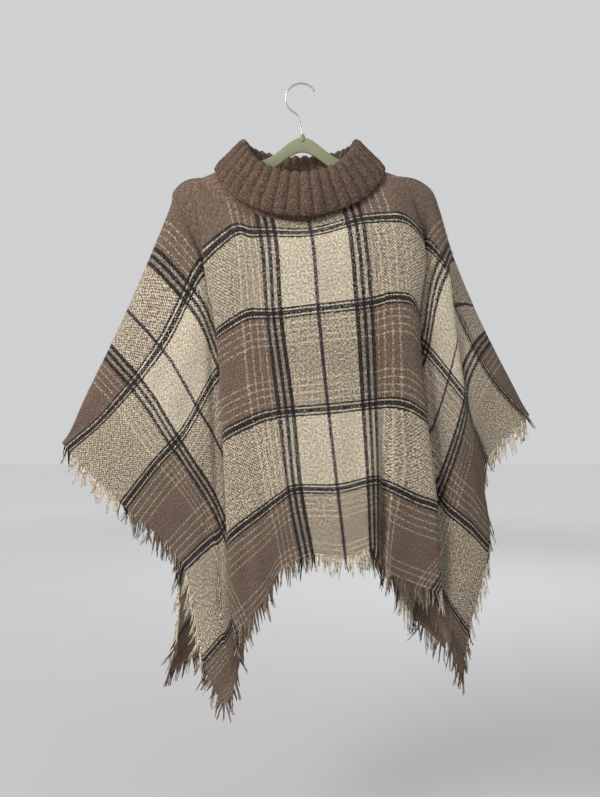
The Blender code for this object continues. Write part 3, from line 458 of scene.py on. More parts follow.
class FoldCurve:
    """One fold as a smooth curve down the cloth: where it hangs, and the thread across it."""

    def __init__(self, fold, side):
        self.top = tip_slip(fold.along)
        self.knots = np.array([self.top] + list(LEVELS[1:]))
        places = np.array([fold_point(fold.along), fold.yoke, fold.bust, fold.waist, fold.hip, fold.hem])
        threads = [fold.along, *(fold.weave or [fold.along] * (len(LEVELS) - 1))]
        self.values = np.column_stack([places, threads])
        self.tangents = slopes(self.knots, self.values)
        reach = np.linalg.norm(places[1] - places[0]) / (self.knots[1] - self.knots[0])
        self.tangents[0, :3] = (0.0, 0.0, side * 0.5 * reach)

    def at(self, down):
        return curve_at(self.knots, self.values, self.tangents, np.maximum(down, self.top))


class Cloth:
    """Smooth surface of one half of the square, over its folds and down its length."""

    def __init__(self, folds, side, creases):
        self.side = side
        self.creases = creases
        self.starts = [fold.along for fold in folds]
        self.curves = [FoldCurve(fold, side) for fold in folds]
        self.last = len(folds) - 1

    def along(self, position):
        """Distance along the shoulder fold of a position that counts the folds from the left."""
        return float(np.interp(position, range(self.last + 1), self.starts))

    def at(self, position, down):
        """Points in metres, and the threads across, at one position and an array of lengths down."""
        position = min(max(position, 0.0), self.last)
        index = min(int(position), self.last - 1)
        share = position - index
        curves = self.curves
        here, there = curves[index].at(down), curves[index + 1].at(down)
        before = curves[index - 1].at(down) if index > 0 else 2.0 * here - there
        after = curves[index + 2].at(down) if index + 2 <= self.last else 2.0 * there - here
        mixed = hermite(here, there, (there - before) / 2.0, (after - here) / 2.0, 1.0, share)
        roll = np.clip((down - tip_slip(self.along(position))) / ROLL_LENGTH, 0.0, 1.0)
        forward = mixed[:, 2] + self.side * ROLL_OVER * np.sin(math.pi / 2.0 * roll)
        return place(mixed[:, 0], mixed[:, 1], forward), mixed[:, 3]

    def positions(self):
        """Places of the mesh's columns, about a cell apart at their widest."""
        levels = np.array(LEVELS[1:])
        found = []
        for index in range(self.last):
            here = self.curves[index].at(levels)[:, :3]
            there = self.curves[index + 1].at(levels)[:, :3]
            steps = max(3, math.ceil(np.linalg.norm(there - here, axis=1).max() / CELL))
            found += list(index + np.arange(steps) / steps)
        left, right = self.starts.index(-NECK_HALF), self.starts.index(NECK_HALF)
        found += [left + step for step in CORNER_STEPS] + [right - step for step in CORNER_STEPS]
        return sorted(set(found + [float(self.last)]))


def crease_depth(points, creases):
    """How far each point is pressed in by the creases, seen from the front."""
    x = points[..., 0] / CM
    drop = -points[..., 2] / CM
    depth = np.zeros(x.shape)
    for crease in creases:
        start, end = np.array(crease.start), np.array(crease.end)
        run = end - start
        share = ((x - start[0]) * run[0] + (drop - start[1]) * run[1]) / (run @ run)
        share = np.clip(share, 0.0, 1.0)
        off = np.hypot(x - start[0] - share * run[0], drop - start[1] - share * run[1])
        fade = np.sin(math.pi * np.clip(share, 0.06, 0.94)) ** 0.5
        depth += crease.depth * fade * np.exp(-(off / crease.width) ** 2)
    return depth


def panel_grid(cloth, cut):
    """Points, normals and cloth places of a panel, in rows down and columns across."""
    positions = cloth.positions()
    below = np.arange(TOP_ROWS[-1] + ROW_CELL, CLOTH_LENGTH, ROW_CELL)
    lengths = np.array(list(TOP_ROWS) + list(below) + [CLOTH_LENGTH])
    shape = (len(lengths), len(positions))
    points, normals = np.zeros(shape + (3,)), np.zeros(shape + (3,))
    weave = np.zeros(shape + (2,))
    along = np.array([cloth.along(position) for position in positions])
    for column, position in enumerate(positions):
        top = max(neck_edge(along[column], cut), tip_slip(along[column]))
        down = top + (CLOTH_LENGTH - top) * lengths / CLOTH_LENGTH
        points[:, column], weave[:, column, 0] = cloth.at(position, down)
        weave[:, column, 1] = cloth.side * down
        over = cloth.at(position + PROBE, down)[0] - cloth.at(position - PROBE, down)[0]
        fall = cloth.at(position, down + PROBE)[0] - cloth.at(position, down - PROBE)[0]
        normals[:, column] = cloth.side * unit(np.cross(fall, over))
    on_fold = np.abs(along) >= NECK_HALF - 0.01
    points[0, on_fold, 1] = 0.0
    normals[0, on_fold, 1] = 0.0
    on_hanger = on_fold & (np.abs(points[0, :, 0] - HANGER_MIDDLE * CM) < HANGER_HALF * CM)
    normals[0, on_hanger] = [(HANGER_SLOPE * np.sign(x), 0.0, 1.0) for x in points[0, on_hanger, 0]]
    normals[0] = unit(normals[0])
    fade = np.clip((lengths - CREASE_FROM) / CREASE_GROWTH, 0.0, 1.0)[:, None]
    pressed = crease_depth(points, cloth.creases) * fade * CM
    return points - normals * pressed[..., None], normals, weave, along


def wall_mesh(outer, inner, closed=False):
    """Vertices and faces of a wall between two grids; closed joins the last column to the first."""
    rows, columns = outer.shape[:2]
    vertices = np.concatenate([outer.reshape(-1, 3), inner.reshape(-1, 3)])
    offset = rows * columns
    spans = columns if closed else columns - 1
    row, column = np.meshgrid(np.arange(rows - 1), np.arange(spans), indexing="ij")
    start = (row * columns + column).ravel()
    side = (row * columns + (column + 1) % columns).ravel()
    quads = np.column_stack([start, side, side + columns, start + columns])
    faces = [tuple(quad) for quad in np.concatenate([quads, quads[:, ::-1] + offset]).tolist()]
    for row in (0, rows - 1):
        for column in range(spans):
            here, there = row * columns + column, row * columns + (column + 1) % columns
            faces.append((here, there, offset + there, offset + here))
    if not closed:
        for column in (0, columns - 1):
            for row in range(rows - 1):
                here, there = row * columns + column, (row + 1) * columns + column
                faces.append((here, there, offset + there, offset + here))
    return vertices, faces


def tube_faces(rows, sides, start=0):
    """Faces of a closed tube of vertex rings, with a cap at both ends."""
    faces = []
    for row in range(rows - 1):
        here = start + row * sides
        for step in range(sides):
            after = (step + 1) % sides
            faces.append((here + step, here + after, here + sides + after, here + sides + step))
    for row in (0, rows - 1):
        faces.append(tuple(start + row * sides + step for step in range(sides)))
    return faces


def link_object(name, data):
    """New object in the scene."""
    made = bpy.data.objects.new(name, data)
    bpy.context.scene.collection.objects.link(made)
    return made


def add_piece(name, vertices, faces, material, replaces=(), weave=None, smooth=60.0):
    """Mesh piece that rides on the frame; weave is each vertex's place on its cloth."""
    mesh = bpy.data.meshes.new(name)
    mesh.from_pydata(np.asarray(vertices).tolist(), [], faces)
    work = bmesh.new()
    work.from_mesh(mesh)
    bmesh.ops.recalc_face_normals(work, faces=work.faces)
    work.to_mesh(mesh)
    work.free()
    mesh.shade_smooth()
    if smooth:
        mesh.set_sharp_from_angle(angle=math.radians(smooth))
    if weave is not None:
        corners = np.zeros(len(mesh.loops), dtype=np.int32)
        mesh.loops.foreach_get("vertex_index", corners)
        layer = mesh.uv_layers.new(name="weave")
        layer.data.foreach_set("uv", (np.asarray(weave)[corners] * CM).ravel())
    mesh.materials.append(material)
    piece = link_object(name, mesh)
    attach(piece, "root")
    if replaces:
        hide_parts(*replaces)
    return piece


class Graph:
    """A material's node graph, with short calls to add its nodes."""

    def __init__(self, name):
        self.material = bpy.data.materials.new(name)
        self.material.use_nodes = True
        self.tree = self.material.node_tree
        self.shader = self.tree.nodes["Principled BSDF"]

    def join(self, socket, value):
        if isinstance(value, bpy.types.NodeSocket):
            self.tree.links.new(value, socket)
        else:
            socket.default_value = value

    def fill(self, node, inputs):
        """Give a node's inputs, by name or by place, their values or links."""
        for key, value in inputs.items():
            self.join(node.inputs[key], value)
        return node

    def node(self, kind, inputs, **settings):
        made = self.tree.nodes.new("ShaderNode" + kind)
        for key, value in settings.items():
            setattr(made, key, value)
        return self.fill(made, inputs)

    def math(self, operation, *values):
        return self.node("Math", dict(enumerate(values)), operation=operation).outputs[0]

    def scale(self, vector, factor):
        node = self.node("VectorMath", {0: vector, "Scale": factor}, operation="SCALE")
        return node.outputs[0]

    def spread(self, value, low, high, to_low=0.0, to_high=1.0):
        return self.node("MapRange", dict(enumerate((value, low, high, to_low, to_high)))).outputs[0]

    def mix(self, factor, first, second, blend="MIX"):
        node = self.node("Mix", {"Factor": factor}, data_type="RGBA", blend_type=blend)
        colors = [socket for socket in node.inputs if socket.type == "RGBA"]
        for socket, value in zip(colors, (first, second)):
            self.join(socket, (*value, 1.0) if isinstance(value, tuple) else value)
        return next(socket for socket in node.outputs if socket.type == "RGBA")

    def noise(self, vector, scale, detail=2.0, roughness=0.5):
        inputs = {"Vector": vector, "Scale": scale, "Detail": detail, "Roughness": roughness}
        return self.node("TexNoise", inputs).outputs["Fac"]

    def ramp(self, value, stops, interpolation="LINEAR"):
        """Colour ramp from (place, colour, alpha) stops; returns its colour and its alpha."""
        node = self.node("ValToRGB", {"Fac": value})
        node.color_ramp.interpolation = interpolation
        elements = node.color_ramp.elements
        for place_at, _, _ in stops[1:-1]:
            elements.new(place_at)
        for element, (place_at, color, alpha) in zip(elements, stops):
            element.position = place_at
            element.color = (*color, alpha)
        return node.outputs["Color"], node.outputs["Alpha"]

    def bump(self, height, distance, strength, normal=None):
        inputs = {"Height": height, "Distance": distance, "Strength": strength}
        if normal is not None:
            inputs["Normal"] = normal
        return self.node("Bump", inputs).outputs["Normal"]

    def weave(self):
        """Distances across and down the cloth in centimetres, and the same as one vector."""
        flat = self.node("UVMap", {}, uv_map="weave").outputs["UV"]
        place_at = self.scale(flat, 1.0 / CM)
        parts = self.node("SeparateXYZ", {0: place_at}).outputs
        return parts["X"], parts["Y"], place_at

    def object_place(self):
        return self.node("TexCoord", {}).outputs["Object"]

    def finish(self, inputs):
        """Give the shader its inputs and return the material."""
        self.fill(self.shader, inputs)
        return self.material


def group_stops(lines):
    """Ramp stops for a group of stripes, from -GROUP_REACH to GROUP_REACH.

    The alpha says how far a thread lies on top: dark lines hide the threads that they cross.
    """
    stops = [(0.0, CREAM, GROUND_TOP)]
    for line in lines:
        top = BLACK_TOP if line.color is BLACK else PIN_TOP
        for side, color, height in ((-line.half, line.color, top), (line.half, line.ground, GROUND_TOP)):
            stops.append(((line.middle + side + GROUP_REACH) / (2.0 * GROUP_REACH), color, height))
    return stops


def warp_color(graph, across):
    """Colour of the threads that run down the cloth, and how far they lie on top."""
    reach = graph.math("ABSOLUTE", across)
    offsets = [graph.math("SUBTRACT", reach, group) for group in WARP_GROUPS]
    nearest = graph.math("ABSOLUTE", offsets[0])
    side = offsets[0]
    for offset in offsets[1:]:
        nearest = graph.math("MINIMUM", nearest, graph.math("ABSOLUTE", offset))
        side = graph.math("MULTIPLY", side, offset)
    signed = graph.math("MULTIPLY", nearest, graph.math("SIGN", side))
    fraction = graph.spread(signed, -GROUP_REACH, GROUP_REACH)
    color, top = graph.ramp(fraction, group_stops(WARP_LINES), "CONSTANT")
    to_plum = graph.math("ABSOLUTE", graph.math("SUBTRACT", reach, WARP_PLUM))
    to_plum = graph.math("MINIMUM", reach, to_plum)
    on_plum = graph.math("LESS_THAN", to_plum, PLUM_HALF)
    top = graph.math("MAXIMUM", top, graph.math("MULTIPLY", on_plum, PLUM_TOP))
    return graph.mix(on_plum, color, PLUM), top


def weft_color(graph, down):
    """Colour of the threads that run across the cloth, and how far they lie on top."""
    shifted = graph.math("SUBTRACT", down, WEFT_FIRST)
    place_in = graph.math("FLOORED_MODULO", shifted, WEFT_REPEAT)
    to_second = graph.math("ABSOLUTE", graph.math("SUBTRACT", place_in, WEFT_BROWN))
    to_next = graph.math("SUBTRACT", WEFT_REPEAT, place_in)
    nearest = graph.math("MINIMUM", graph.math("MINIMUM", place_in, to_second), to_next)
    side = graph.math("SIGN", graph.math("SUBTRACT", WEFT_BROWN, place_in))
    signed = graph.math("MULTIPLY", nearest, side)
    fraction = graph.spread(signed, -GROUP_REACH, GROUP_REACH)
    color, top = graph.ramp(fraction, group_stops(WEFT_LINES), "CONSTANT")
    on_yoke = graph.math("LESS_THAN", graph.math("ABSOLUTE", down), YOKE_PLAIN)
    return graph.mix(on_yoke, color, BROWN), top


def jitter(graph, value, vector, scale, amount):
    """A coordinate pushed to and fro, so that the yarns' edges are woolly."""
    rough = graph.noise(vector, scale, roughness=0.7)
    return graph.math("ADD", value, graph.spread(rough, 0.25, 0.75, -amount, amount))


def woolly(graph, color, vector, scale):
    """Light and dark flecks of the spun wool over a colour."""
    fleck = graph.noise(vector, scale, roughness=0.7)
    tone = graph.spread(fleck, 0.33, 0.67, 0.45, 1.50)
    broad = graph.spread(graph.noise(vector, 0.12), 0.3, 0.7, 0.93, 1.07)
    return graph.scale(color, graph.math("MULTIPLY", tone, broad))


def finish_wool(graph, color, normal, sheen=0.10):
    """Matte wool with a faint sheen."""
    return graph.finish({"Base Color": color, "Normal": normal, "Roughness": 0.95,
                         "Specular IOR Level": 0.15, "Sheen Weight": sheen, "Sheen Roughness": 0.6})


def plaid_material():
    """Looped wool in an open plain weave, in the plaid's colours."""
    graph = Graph("plaid_wool")
    across, down, vector = graph.weave()
    warp, warp_top = warp_color(graph, jitter(graph, across, vector, scale=3.2, amount=0.12))
    weft, weft_top = weft_color(graph, jitter(graph, down, vector, scale=2.9, amount=0.10))
    warp_round = graph.math("SINE", graph.math("MULTIPLY", across, math.pi / YARN_PITCH))
    weft_round = graph.math("SINE", graph.math("MULTIPLY", down, math.pi / YARN_PITCH))
    over_under = graph.math("MULTIPLY", warp_round, weft_round)
    rough = graph.spread(graph.noise(vector, 3.0, roughness=0.7), 0.3, 0.7, -0.55, 0.55)
    order = graph.math("ADD", graph.math("MULTIPLY", over_under, 0.42), rough)
    lift = graph.math("MULTIPLY", graph.math("SUBTRACT", warp_top, weft_top), 0.9)
    on_top = graph.spread(graph.math("ADD", lift, order), -0.17, 0.17)
    color = woolly(graph, graph.mix(on_top, weft, warp), vector, scale=2.9)
    loops = graph.noise(vector, 3.0, 3.0, 0.7)
    normal = graph.bump(loops, distance=0.0040, strength=0.9)
    normal = graph.bump(over_under, distance=0.0006, strength=0.5, normal=normal)
    return finish_wool(graph, color, normal)


def fringe_material(name, color_of_thread, direction):
    """Loose yarn in the colour of the threads that end at this edge."""
    graph = Graph(name)
    color = color_of_thread(graph, graph.weave()[direction])[0]
    place_at = graph.object_place()
    fleck = graph.noise(place_at, 420.0, roughness=0.7)
    color = woolly(graph, color, place_at, scale=260.0)
    return finish_wool(graph, color, graph.bump(fleck, distance=0.001, strength=0.6))


def nap_material():
    """Loose fibres in the mixed colour of the threads under them."""
    graph = Graph("plaid_nap")
    across, down, vector = graph.weave()
    color = graph.mix(0.5, warp_color(graph, across)[0], weft_color(graph, down)[0])
    color = woolly(graph, color, vector, scale=6.0)
    normal = graph.bump(graph.noise(vector, 9.0), distance=0.0004, strength=0.4)
    return finish_wool(graph, color, normal, sheen=0.3)


def knit_material(name, pale):
    """Brown mixture yarn with light and dark flecks. pale scales its colours; for the neck band that is
    painted light, which lifts it out of the shade under the collar.
    """
    graph = Graph(name)
    place_at = graph.object_place()
    fleck = graph.noise(place_at, 430.0, 3.0, 0.8)
    color, _ = graph.ramp(fleck, [(0.36, KNIT_DARK, 1.0), (0.46, KNIT_MIDDLE, 1.0),
                                  (0.55, KNIT_MIDDLE, 1.0), (0.66, KNIT_LIGHT, 1.0)])
    # Colour scale: on the neck band this is painted light against the collar's shade
    color = graph.mix(1.0, color, (pale, pale, pale), "MULTIPLY")
    color = woolly(graph, color, place_at, scale=330.0)
    loops = graph.noise(place_at, 380.0, 3.0, 0.75)
    return finish_wool(graph, color, graph.bump(loops, distance=0.0030, strength=1.0))


def hanger_material():
    """Sage green satin plastic with a faint moulded grain."""
    graph = Graph("hanger_sage")
    place_at = graph.object_place()
    cloud = graph.spread(graph.noise(place_at, 30.0, 3.0), 0.3, 0.7)
    color = graph.mix(cloud, SAGE, tuple(channel * 0.88 for channel in SAGE))
    grain = graph.noise(place_at, 900.0)
    return graph.finish({"Base Color": color, "Specular IOR Level": 0.4,
                         "Roughness": graph.spread(grain, 0.3, 0.7, 0.42, 0.52),
                         "Normal": graph.bump(grain, distance=0.0002, strength=0.3)})


def chrome_material():
    """Bright plated wire with faint drawing marks."""
    graph = Graph("hook_chrome")
    marks = graph.noise(graph.object_place(), 700.0, roughness=0.6)
    return graph.finish({"Base Color": (0.60, 0.59, 0.58, 1.0), "Metallic": 1.0,
                         "Roughness": graph.spread(marks, 0.3, 0.7, 0.16, 0.30)})


def ring_point(ring, angle, push=0.0):
    """Measured place on a collar ring; angle 0 is the front, push moves it outwards."""
    facing = math.cos(angle)
    reach, drop_end = (ring.front, ring.drop_front) if facing > 0.0 else (ring.back, ring.drop_back)
    soft = SIDE_SOFTNESS
    dip = (math.hypot(facing, soft) - soft) / (math.hypot(1.0, soft) - soft)
    drop = ring.drop_side + (drop_end - ring.drop_side) * dip
    return np.array([(ring.half + push) * math.sin(angle), drop, (reach + push) * facing])


def collar_profile():
    """The collar's rings with smooth ones added between them, each with its length from the first."""
    sizes = np.array([ring[1:] for ring in COLLAR_RINGS])
    count = len(sizes)
    rings, travelled, length = [], [], 0.0
    for index, steps in enumerate(RING_STEPS):
        before, here = sizes[index - 1], sizes[index]
        there, after = sizes[(index + 1) % count], sizes[(index + 2) % count]
        for step in range(steps):
            leaving, arriving = (there - before) / 2.0, (after - here) / 2.0
            ring = Ring("", *hermite(here, there, leaving, arriving, 1.0, step / steps))
            if rings:
                length += math.hypot(ring.front - rings[-1].front, ring.drop_front - rings[-1].drop_front)
            rings.append(ring)
            travelled.append(length)
    return rings, travelled


def rib_height(phase, travelled):
    """Height of a rib, from -0.5 in the valley to 0.5 on its crest, with the knit's stitches."""
    crest = np.sin(math.pi * phase) ** 0.8
    slant = np.abs(phase - 0.5) * 0.9
    stitch = np.abs(np.sin(math.pi * (travelled / STITCH_LENGTH + slant)))
    return crest * (0.80 + 0.20 * stitch) - 0.5


def add_collar(material):
    """Knitted roll collar with ribs, stitches and looped yarn in its surface."""
    rings, travelled = collar_profile()
    columns = RIB_COUNT * RIB_COLUMNS
    angles = 2.0 * math.pi * np.arange(columns) / columns
    sways = 0.06 * np.sin(5.0 * angles + 1.0) + 0.05 * np.sin(11.0 * angles)
    smooth = [[ring_point(ring, angle, sway) for angle, sway in zip(angles, sways)] for ring in rings]
    points = place(*np.moveaxis(smooth, -1, 0))
    around = np.roll(points, -1, axis=1) - np.roll(points, 1, axis=1)
    onward = np.roll(points, -1, axis=0) - np.roll(points, 1, axis=0)
    normals = unit(np.cross(around, onward))
    outside = RING_STEPS[0] + RING_STEPS[1]
    centre = points[outside].mean(axis=0)
    normals *= np.sign(np.sum(normals[outside] * (points[outside] - centre)))
    phase = (np.arange(columns) % RIB_COLUMNS) / RIB_COLUMNS
    shares = np.maximum([ring.rib for ring in rings], 0.0)[:, None]
    loops = np.random.default_rng(3).normal(0.0, LOOP_DEPTH, shares.shape[:1] + (columns,))
    heights = (rib_height(phase[None, :], np.array(travelled)[:, None]) * RIB_DEPTH + loops) * shares
    vertices = (points + normals * heights[..., None] * CM).reshape(-1, 3)
    count = len(rings)
    row, column = np.meshgrid(np.arange(count), np.arange(columns), indexing="ij")
    below, after = (row + 1) % count, (column + 1) % columns
    corners = (row * columns + column, row * columns + after,
               below * columns + after, below * columns + column)
    faces = np.stack(corners, axis=2).reshape(-1, 4).tolist()
    return add_piece("ribbed_collar", vertices, faces, material, ("collar",), smooth=0)


def add_neck_band(front, back, material):
    """Plain knitted strip from the neck's edge up to the collar's base."""
    seam, seam_normals = [], []
    for points, normals, _, along in (front, back):
        inside = np.flatnonzero(np.abs(along) <= NECK_HALF + 0.01)
        seam.append(points[0, inside])
        seam_normals.append(normals[0, inside])
    lower = np.concatenate([seam[0], seam[1][-2:0:-1]])
    facing = np.concatenate([seam_normals[0], seam_normals[1][-2:0:-1]])
    for corner, back_corner in ((0, 0), (len(seam[0]) - 1, -1)):
        lower[corner] = (seam[0][corner] + seam[1][back_corner]) / 2.0
        facing[corner] = seam_normals[0][corner] + seam_normals[1][back_corner]
    facing = unit(facing)
    reach = np.where(lower[:, 1] < 0.0, BAND_FRONT, BAND_BACK)
    angles = np.arctan2(lower[:, 0] / BAND_HALF_WIDTH, -lower[:, 1] / reach)
    upper = np.array([place(*ring_point(BAND_TOP, angle)) for angle in angles])
    rim = unit(np.roll(lower, -1, axis=0) - lower) + unit(lower - np.roll(lower, 1, axis=0))
    lift = unit(np.cross(rim, facing))
    lift *= np.sign(np.sum(lift * (upper - lower), axis=1, keepdims=True))
    lower = lower + lift * BAND_GAP * CM
    turned = lower + lift * BAND_TURN * CM
    climb = upper - turned
    leaving = lift * np.linalg.norm(climb, axis=1, keepdims=True) * 0.5
    rows = [hermite(turned, upper, leaving, climb, 1.0, share) for share in (0.2, 0.4, 0.6, 0.8, 1.0)]
    grid = np.array([lower, turned] + rows)
    over = unit(np.roll(upper, -1, axis=0) - np.roll(upper, 1, axis=0))
    free = unit(np.cross(unit(climb), over))
    free *= np.sign(np.sum(free * facing, axis=1, keepdims=True))
    turning = (0.3, 0.6, 0.8, 1.0, 1.0, 1.0)
    normals = [facing] + [unit(facing * (1.0 - share) + free * share) for share in turning]
    half = np.array(normals) * BAND_THICKNESS / 2.0 * CM
    vertices, faces = wall_mesh(grid + half, grid - half, closed=True)
    return add_piece("knit_neck_band", vertices, faces, material, ("neck_band",))


def add_panel(name, node, cloth, cut, material):
    """One half of the square as a thin woven shell."""
    points, normals, weave, along = panel_grid(cloth, cut)
    half = CLOTH_THICKNESS / 2.0 * CM
    vertices, faces = wall_mesh(points + normals * half, points - normals * half)
    both_sides = np.tile(weave.reshape(-1, 2), (2, 1))
    piece = add_piece(name, vertices, faces, material, (node,), both_sides)
    return piece, (points, normals, weave, along)


def add_nap(name, grid, material, count, seed):
    """Short bent fibres that stand off the cloth's outer face."""
    points, normals, weave, _ = grid
    draw = np.random.default_rng(seed)
    across, down = np.diff(points, axis=1)[:-1], np.diff(points, axis=0)[:, :-1]
    area = np.linalg.norm(np.cross(across, down), axis=2).ravel()
    cells = draw.choice(area.size, count, p=area / area.sum())
    row, column = np.divmod(cells, points.shape[1] - 1)
    across, down, facing = across[row, column], down[row, column], normals[row, column]
    share = draw.random((2, count, 1))
    root = points[row, column] + across * share[0] + down * share[1]
    root = root + facing * (CLOTH_THICKNESS / 2.0 - NAP_ROOT) * CM
    turn = draw.uniform(0.0, 2.0 * math.pi, (count, 1))
    lying = unit(across) * np.cos(turn) + unit(down) * np.sin(turn)
    heading = unit(lying + facing * draw.uniform(0.3, 1.0, (count, 1)))
    length = NAP_LENGTH * CM * draw.uniform(0.5, 1.2, (count, 1))
    middle = root + heading * length * 0.5
    tip = middle + unit(heading + draw.normal(0.0, 0.5, (count, 3))) * length * 0.5
    side = unit(np.cross(heading, facing + 0.01))
    other = np.cross(heading, side)
    rings = []
    for centre, radius in ((root, NAP_RADIUS), (middle, NAP_RADIUS * 0.8)):
        for corner in range(3):
            angle = 2.0 * math.pi * corner / 3.0
            rings.append(centre + (side * math.cos(angle) + other * math.sin(angle)) * radius * CM)
    rings.append(tip)
    each = len(rings)
    vertices = np.stack(rings, axis=1).reshape(-1, 3)
    pattern = ((0, 1, 4, 3), (1, 2, 5, 4), (2, 0, 3, 5), (3, 4, 6), (4, 5, 6), (5, 3, 6), (2, 1, 0))
    faces = [tuple(each * fibre + corner for corner in face) for fibre in range(count) for face in pattern]
    places = np.repeat(weave[row, column], each, axis=0)
    return add_piece(name, vertices, faces, material, weave=places, smooth=0)


def sampled(path, travelled, at):
    """A path's values at one distance along it."""
    return np.array([np.interp(at, travelled, path[:, column]) for column in range(path.shape[1])])


def add_yarn(vertices, faces, weave, root, heading, length, radius, sway, place_at):
    """One loose yarn: a four-sided tube that droops, bends and narrows to its end."""
    rings, sides = 7, 4
    across = unit(np.cross(heading, (0.3, 1.0, 0.2)))
    other = np.cross(heading, across)
    start = len(vertices)
    for ring in range(rings):
        share = ring / (rings - 1)
        middle = root + heading * length * share + sway * share ** 1.6
        middle = middle + np.array([0.0, 0.0, -0.3]) * length * share * share
        size = radius * (1.0 - 0.6 * share ** 1.5)
        for corner in range(sides):
            angle = 2.0 * math.pi * corner / sides + 3.0 * share
            vertices.append(middle + (across * math.cos(angle) + other * math.sin(angle)) * size)
            weave.append(place_at)
    faces += tube_faces(rings, sides, start)


def add_fringe(name, node, edge, inner, normals, weave, material, seed):
    """Tufts of loose yarn along one edge of the cloth; a tuft's yarns close up towards its end."""
    draw = np.random.default_rng(seed)
    outward = unit(edge - inner)
    travelled = np.concatenate([[0.0], np.cumsum(np.linalg.norm(np.diff(edge, axis=0), axis=1))])
    path = np.column_stack([edge, outward, normals, weave])
    vertices, faces, places = [], [], []
    at = 0.15 * CM
    while at < travelled[-1]:
        width = TUFT_WIDTH * CM * draw.uniform(0.65, 1.35)
        middle = sampled(path, travelled, min(at + width / 2.0, travelled[-1]))
        out, facing = unit(middle[3:6]), unit(middle[6:9])
        sideways = unit(np.cross(out, facing))
        lean = sideways * draw.normal(0.0, 0.15) + facing * draw.normal(0.0, 0.12)
        heading = unit(out + lean + np.array([0.0, 0.0, -0.45]))
        length = FRINGE_LENGTH * CM * draw.uniform(0.65, 1.2)
        bend = (sideways * draw.normal(0.0, 1.0) + facing * draw.normal(0.0, 0.6)) * 0.22 * length
        for yarn in range(TUFT_YARNS):
            spot = sampled(path, travelled, min(at + width * (yarn + 0.5) / TUFT_YARNS, travelled[-1]))
            point = spot[:3] - out * 0.004 + facing * draw.uniform(-0.0006, 0.0006)
            close = (middle[:3] - spot[:3]) * draw.uniform(0.2, 0.9)
            sway = bend + close + draw.normal(0.0, 0.0011, 3)
            radius = YARN_RADIUS * CM * draw.uniform(0.75, 1.15)
            reach = length * draw.uniform(0.72, 1.05) + 0.004
            add_yarn(vertices, faces, places, point, heading, reach, radius, sway, spot[9:11])
        at += width
    return add_piece(name, vertices, faces, material, (node,), places, smooth=0)


def add_fringes(prefix, grid, warp, weft, seed):
    """Fringe on the hem and on both sides of one panel; each edge has its cloth a few cells inside."""
    points, normals, weave, _ = grid
    first = int(np.searchsorted(abs(weave[:, 0, 1]), SIDE_FRINGE_FROM))
    edges = (("hem", np.s_[-1], np.s_[-4], warp), ("left", np.s_[first:, 0], np.s_[first:, 3], weft),
             ("right", np.s_[first:, -1], np.s_[first:, -4], weft))
    return [add_fringe(f"{prefix}_{edge}_yarns", f"{prefix}_{edge}_fringe", points[at], points[inner],
                       normals[at], weave[at], material, seed + index)
            for index, (edge, at, inner, material) in enumerate(edges)]


def add_hanger(material):
    """Flat hanger with sloping arms, a crown in the middle and a nub for the hook."""
    section, spans = 20, 120
    vertices = []
    for share in np.linspace(-1.0, 1.0, spans):
        x = HANGER_MIDDLE + HANGER_HALF * math.sin(math.pi / 2.0 * share)
        reach = abs(x - HANGER_MIDDLE) / HANGER_HALF
        height = HANGER_HEIGHT + (HANGER_TIP_HEIGHT - HANGER_HEIGHT) * reach
        past = max(0.0, reach - HANGER_TIP_FROM) / HANGER_TIP_SHARE
        end = max(0.12, math.sqrt(max(0.0, 1.0 - past ** 2)))
        radius = HANGER_THICKNESS / 2.0 * min(1.0, 0.4 + 0.6 * end)
        straight = max(height * end - 2.0 * radius, 0.02)
        centre = hanger_top(x) + radius + (1.0 - end) * 0.35
        for step in range(section):
            angle = 2.0 * math.pi * (step + 0.5) / section
            lower = straight if math.cos(angle) < 0.0 else 0.0
            vertices.append(place(x, centre - radius * math.cos(angle) + lower, 0.0)
                            - np.array([0.0, radius * math.sin(angle) * CM, 0.0]))
    faces = tube_faces(spans, section)
    add_piece("hanger_arms", vertices, faces, material, ("hanger_body",), smooth=50.0)
    profile = ((NUB_RADIUS, 0.7), (NUB_RADIUS, 0.0), (NUB_RADIUS * 0.94, -0.22),
               (NUB_RADIUS * 0.8, -0.42), (NUB_RADIUS * 0.55, -NUB_HEIGHT))
    turns = 32
    vertices = []
    for radius, drop in profile:
        for angle in 2.0 * math.pi * np.arange(turns) / turns:
            vertices.append(((HANGER_MIDDLE + radius * math.cos(angle)) * CM, radius * math.sin(angle) * CM,
                             -(HANGER_CROWN_DROP + drop) * CM))
    faces = tube_faces(len(profile), turns)
    add_piece("hanger_nub", vertices, faces, material, smooth=50.0)


def add_hook(material):
    """Wire hook: a shank that swings out into an open ring, in one plane."""
    foot = (HANGER_MIDDLE, -(HANGER_CROWN_DROP - NUB_HEIGHT) - 0.2)
    arc = [(HOOK_CENTRE + HOOK_RADIUS * math.cos(math.radians(degrees)),
            WIRE_RADIUS - HOOK_RADIUS + HOOK_RADIUS * math.sin(math.radians(degrees)))
           for degrees in HOOK_ARC]
    path = np.array([foot, *HOOK_SHANK, *arc, *HOOK_TIP])
    knots = np.concatenate([[0.0], np.cumsum(np.linalg.norm(np.diff(path, axis=0), axis=1))])
    middle = curve_at(knots, path, slopes(knots, path), np.linspace(0.0, knots[-1], 150))
    heading = unit(np.gradient(middle, axis=0))
    sides = 14
    vertices = []
    for index, (point, ahead) in enumerate(zip(middle, heading)):
        end = min(index, len(middle) - 1 - index) / 2.0
        radius = WIRE_RADIUS * (0.75 + 0.25 * min(1.0, end))
        outward = np.array([ahead[1], -ahead[0]])
        for angle in 2.0 * math.pi * np.arange(sides) / sides:
            flat = point + outward * radius * math.cos(angle)
            vertices.append((flat[0] * CM, radius * math.sin(angle) * CM, flat[1] * CM))
    faces = tube_faces(len(middle), sides)
    return add_piece("wire_hook", vertices, faces, material, ("hanger_hook",), smooth=50.0)


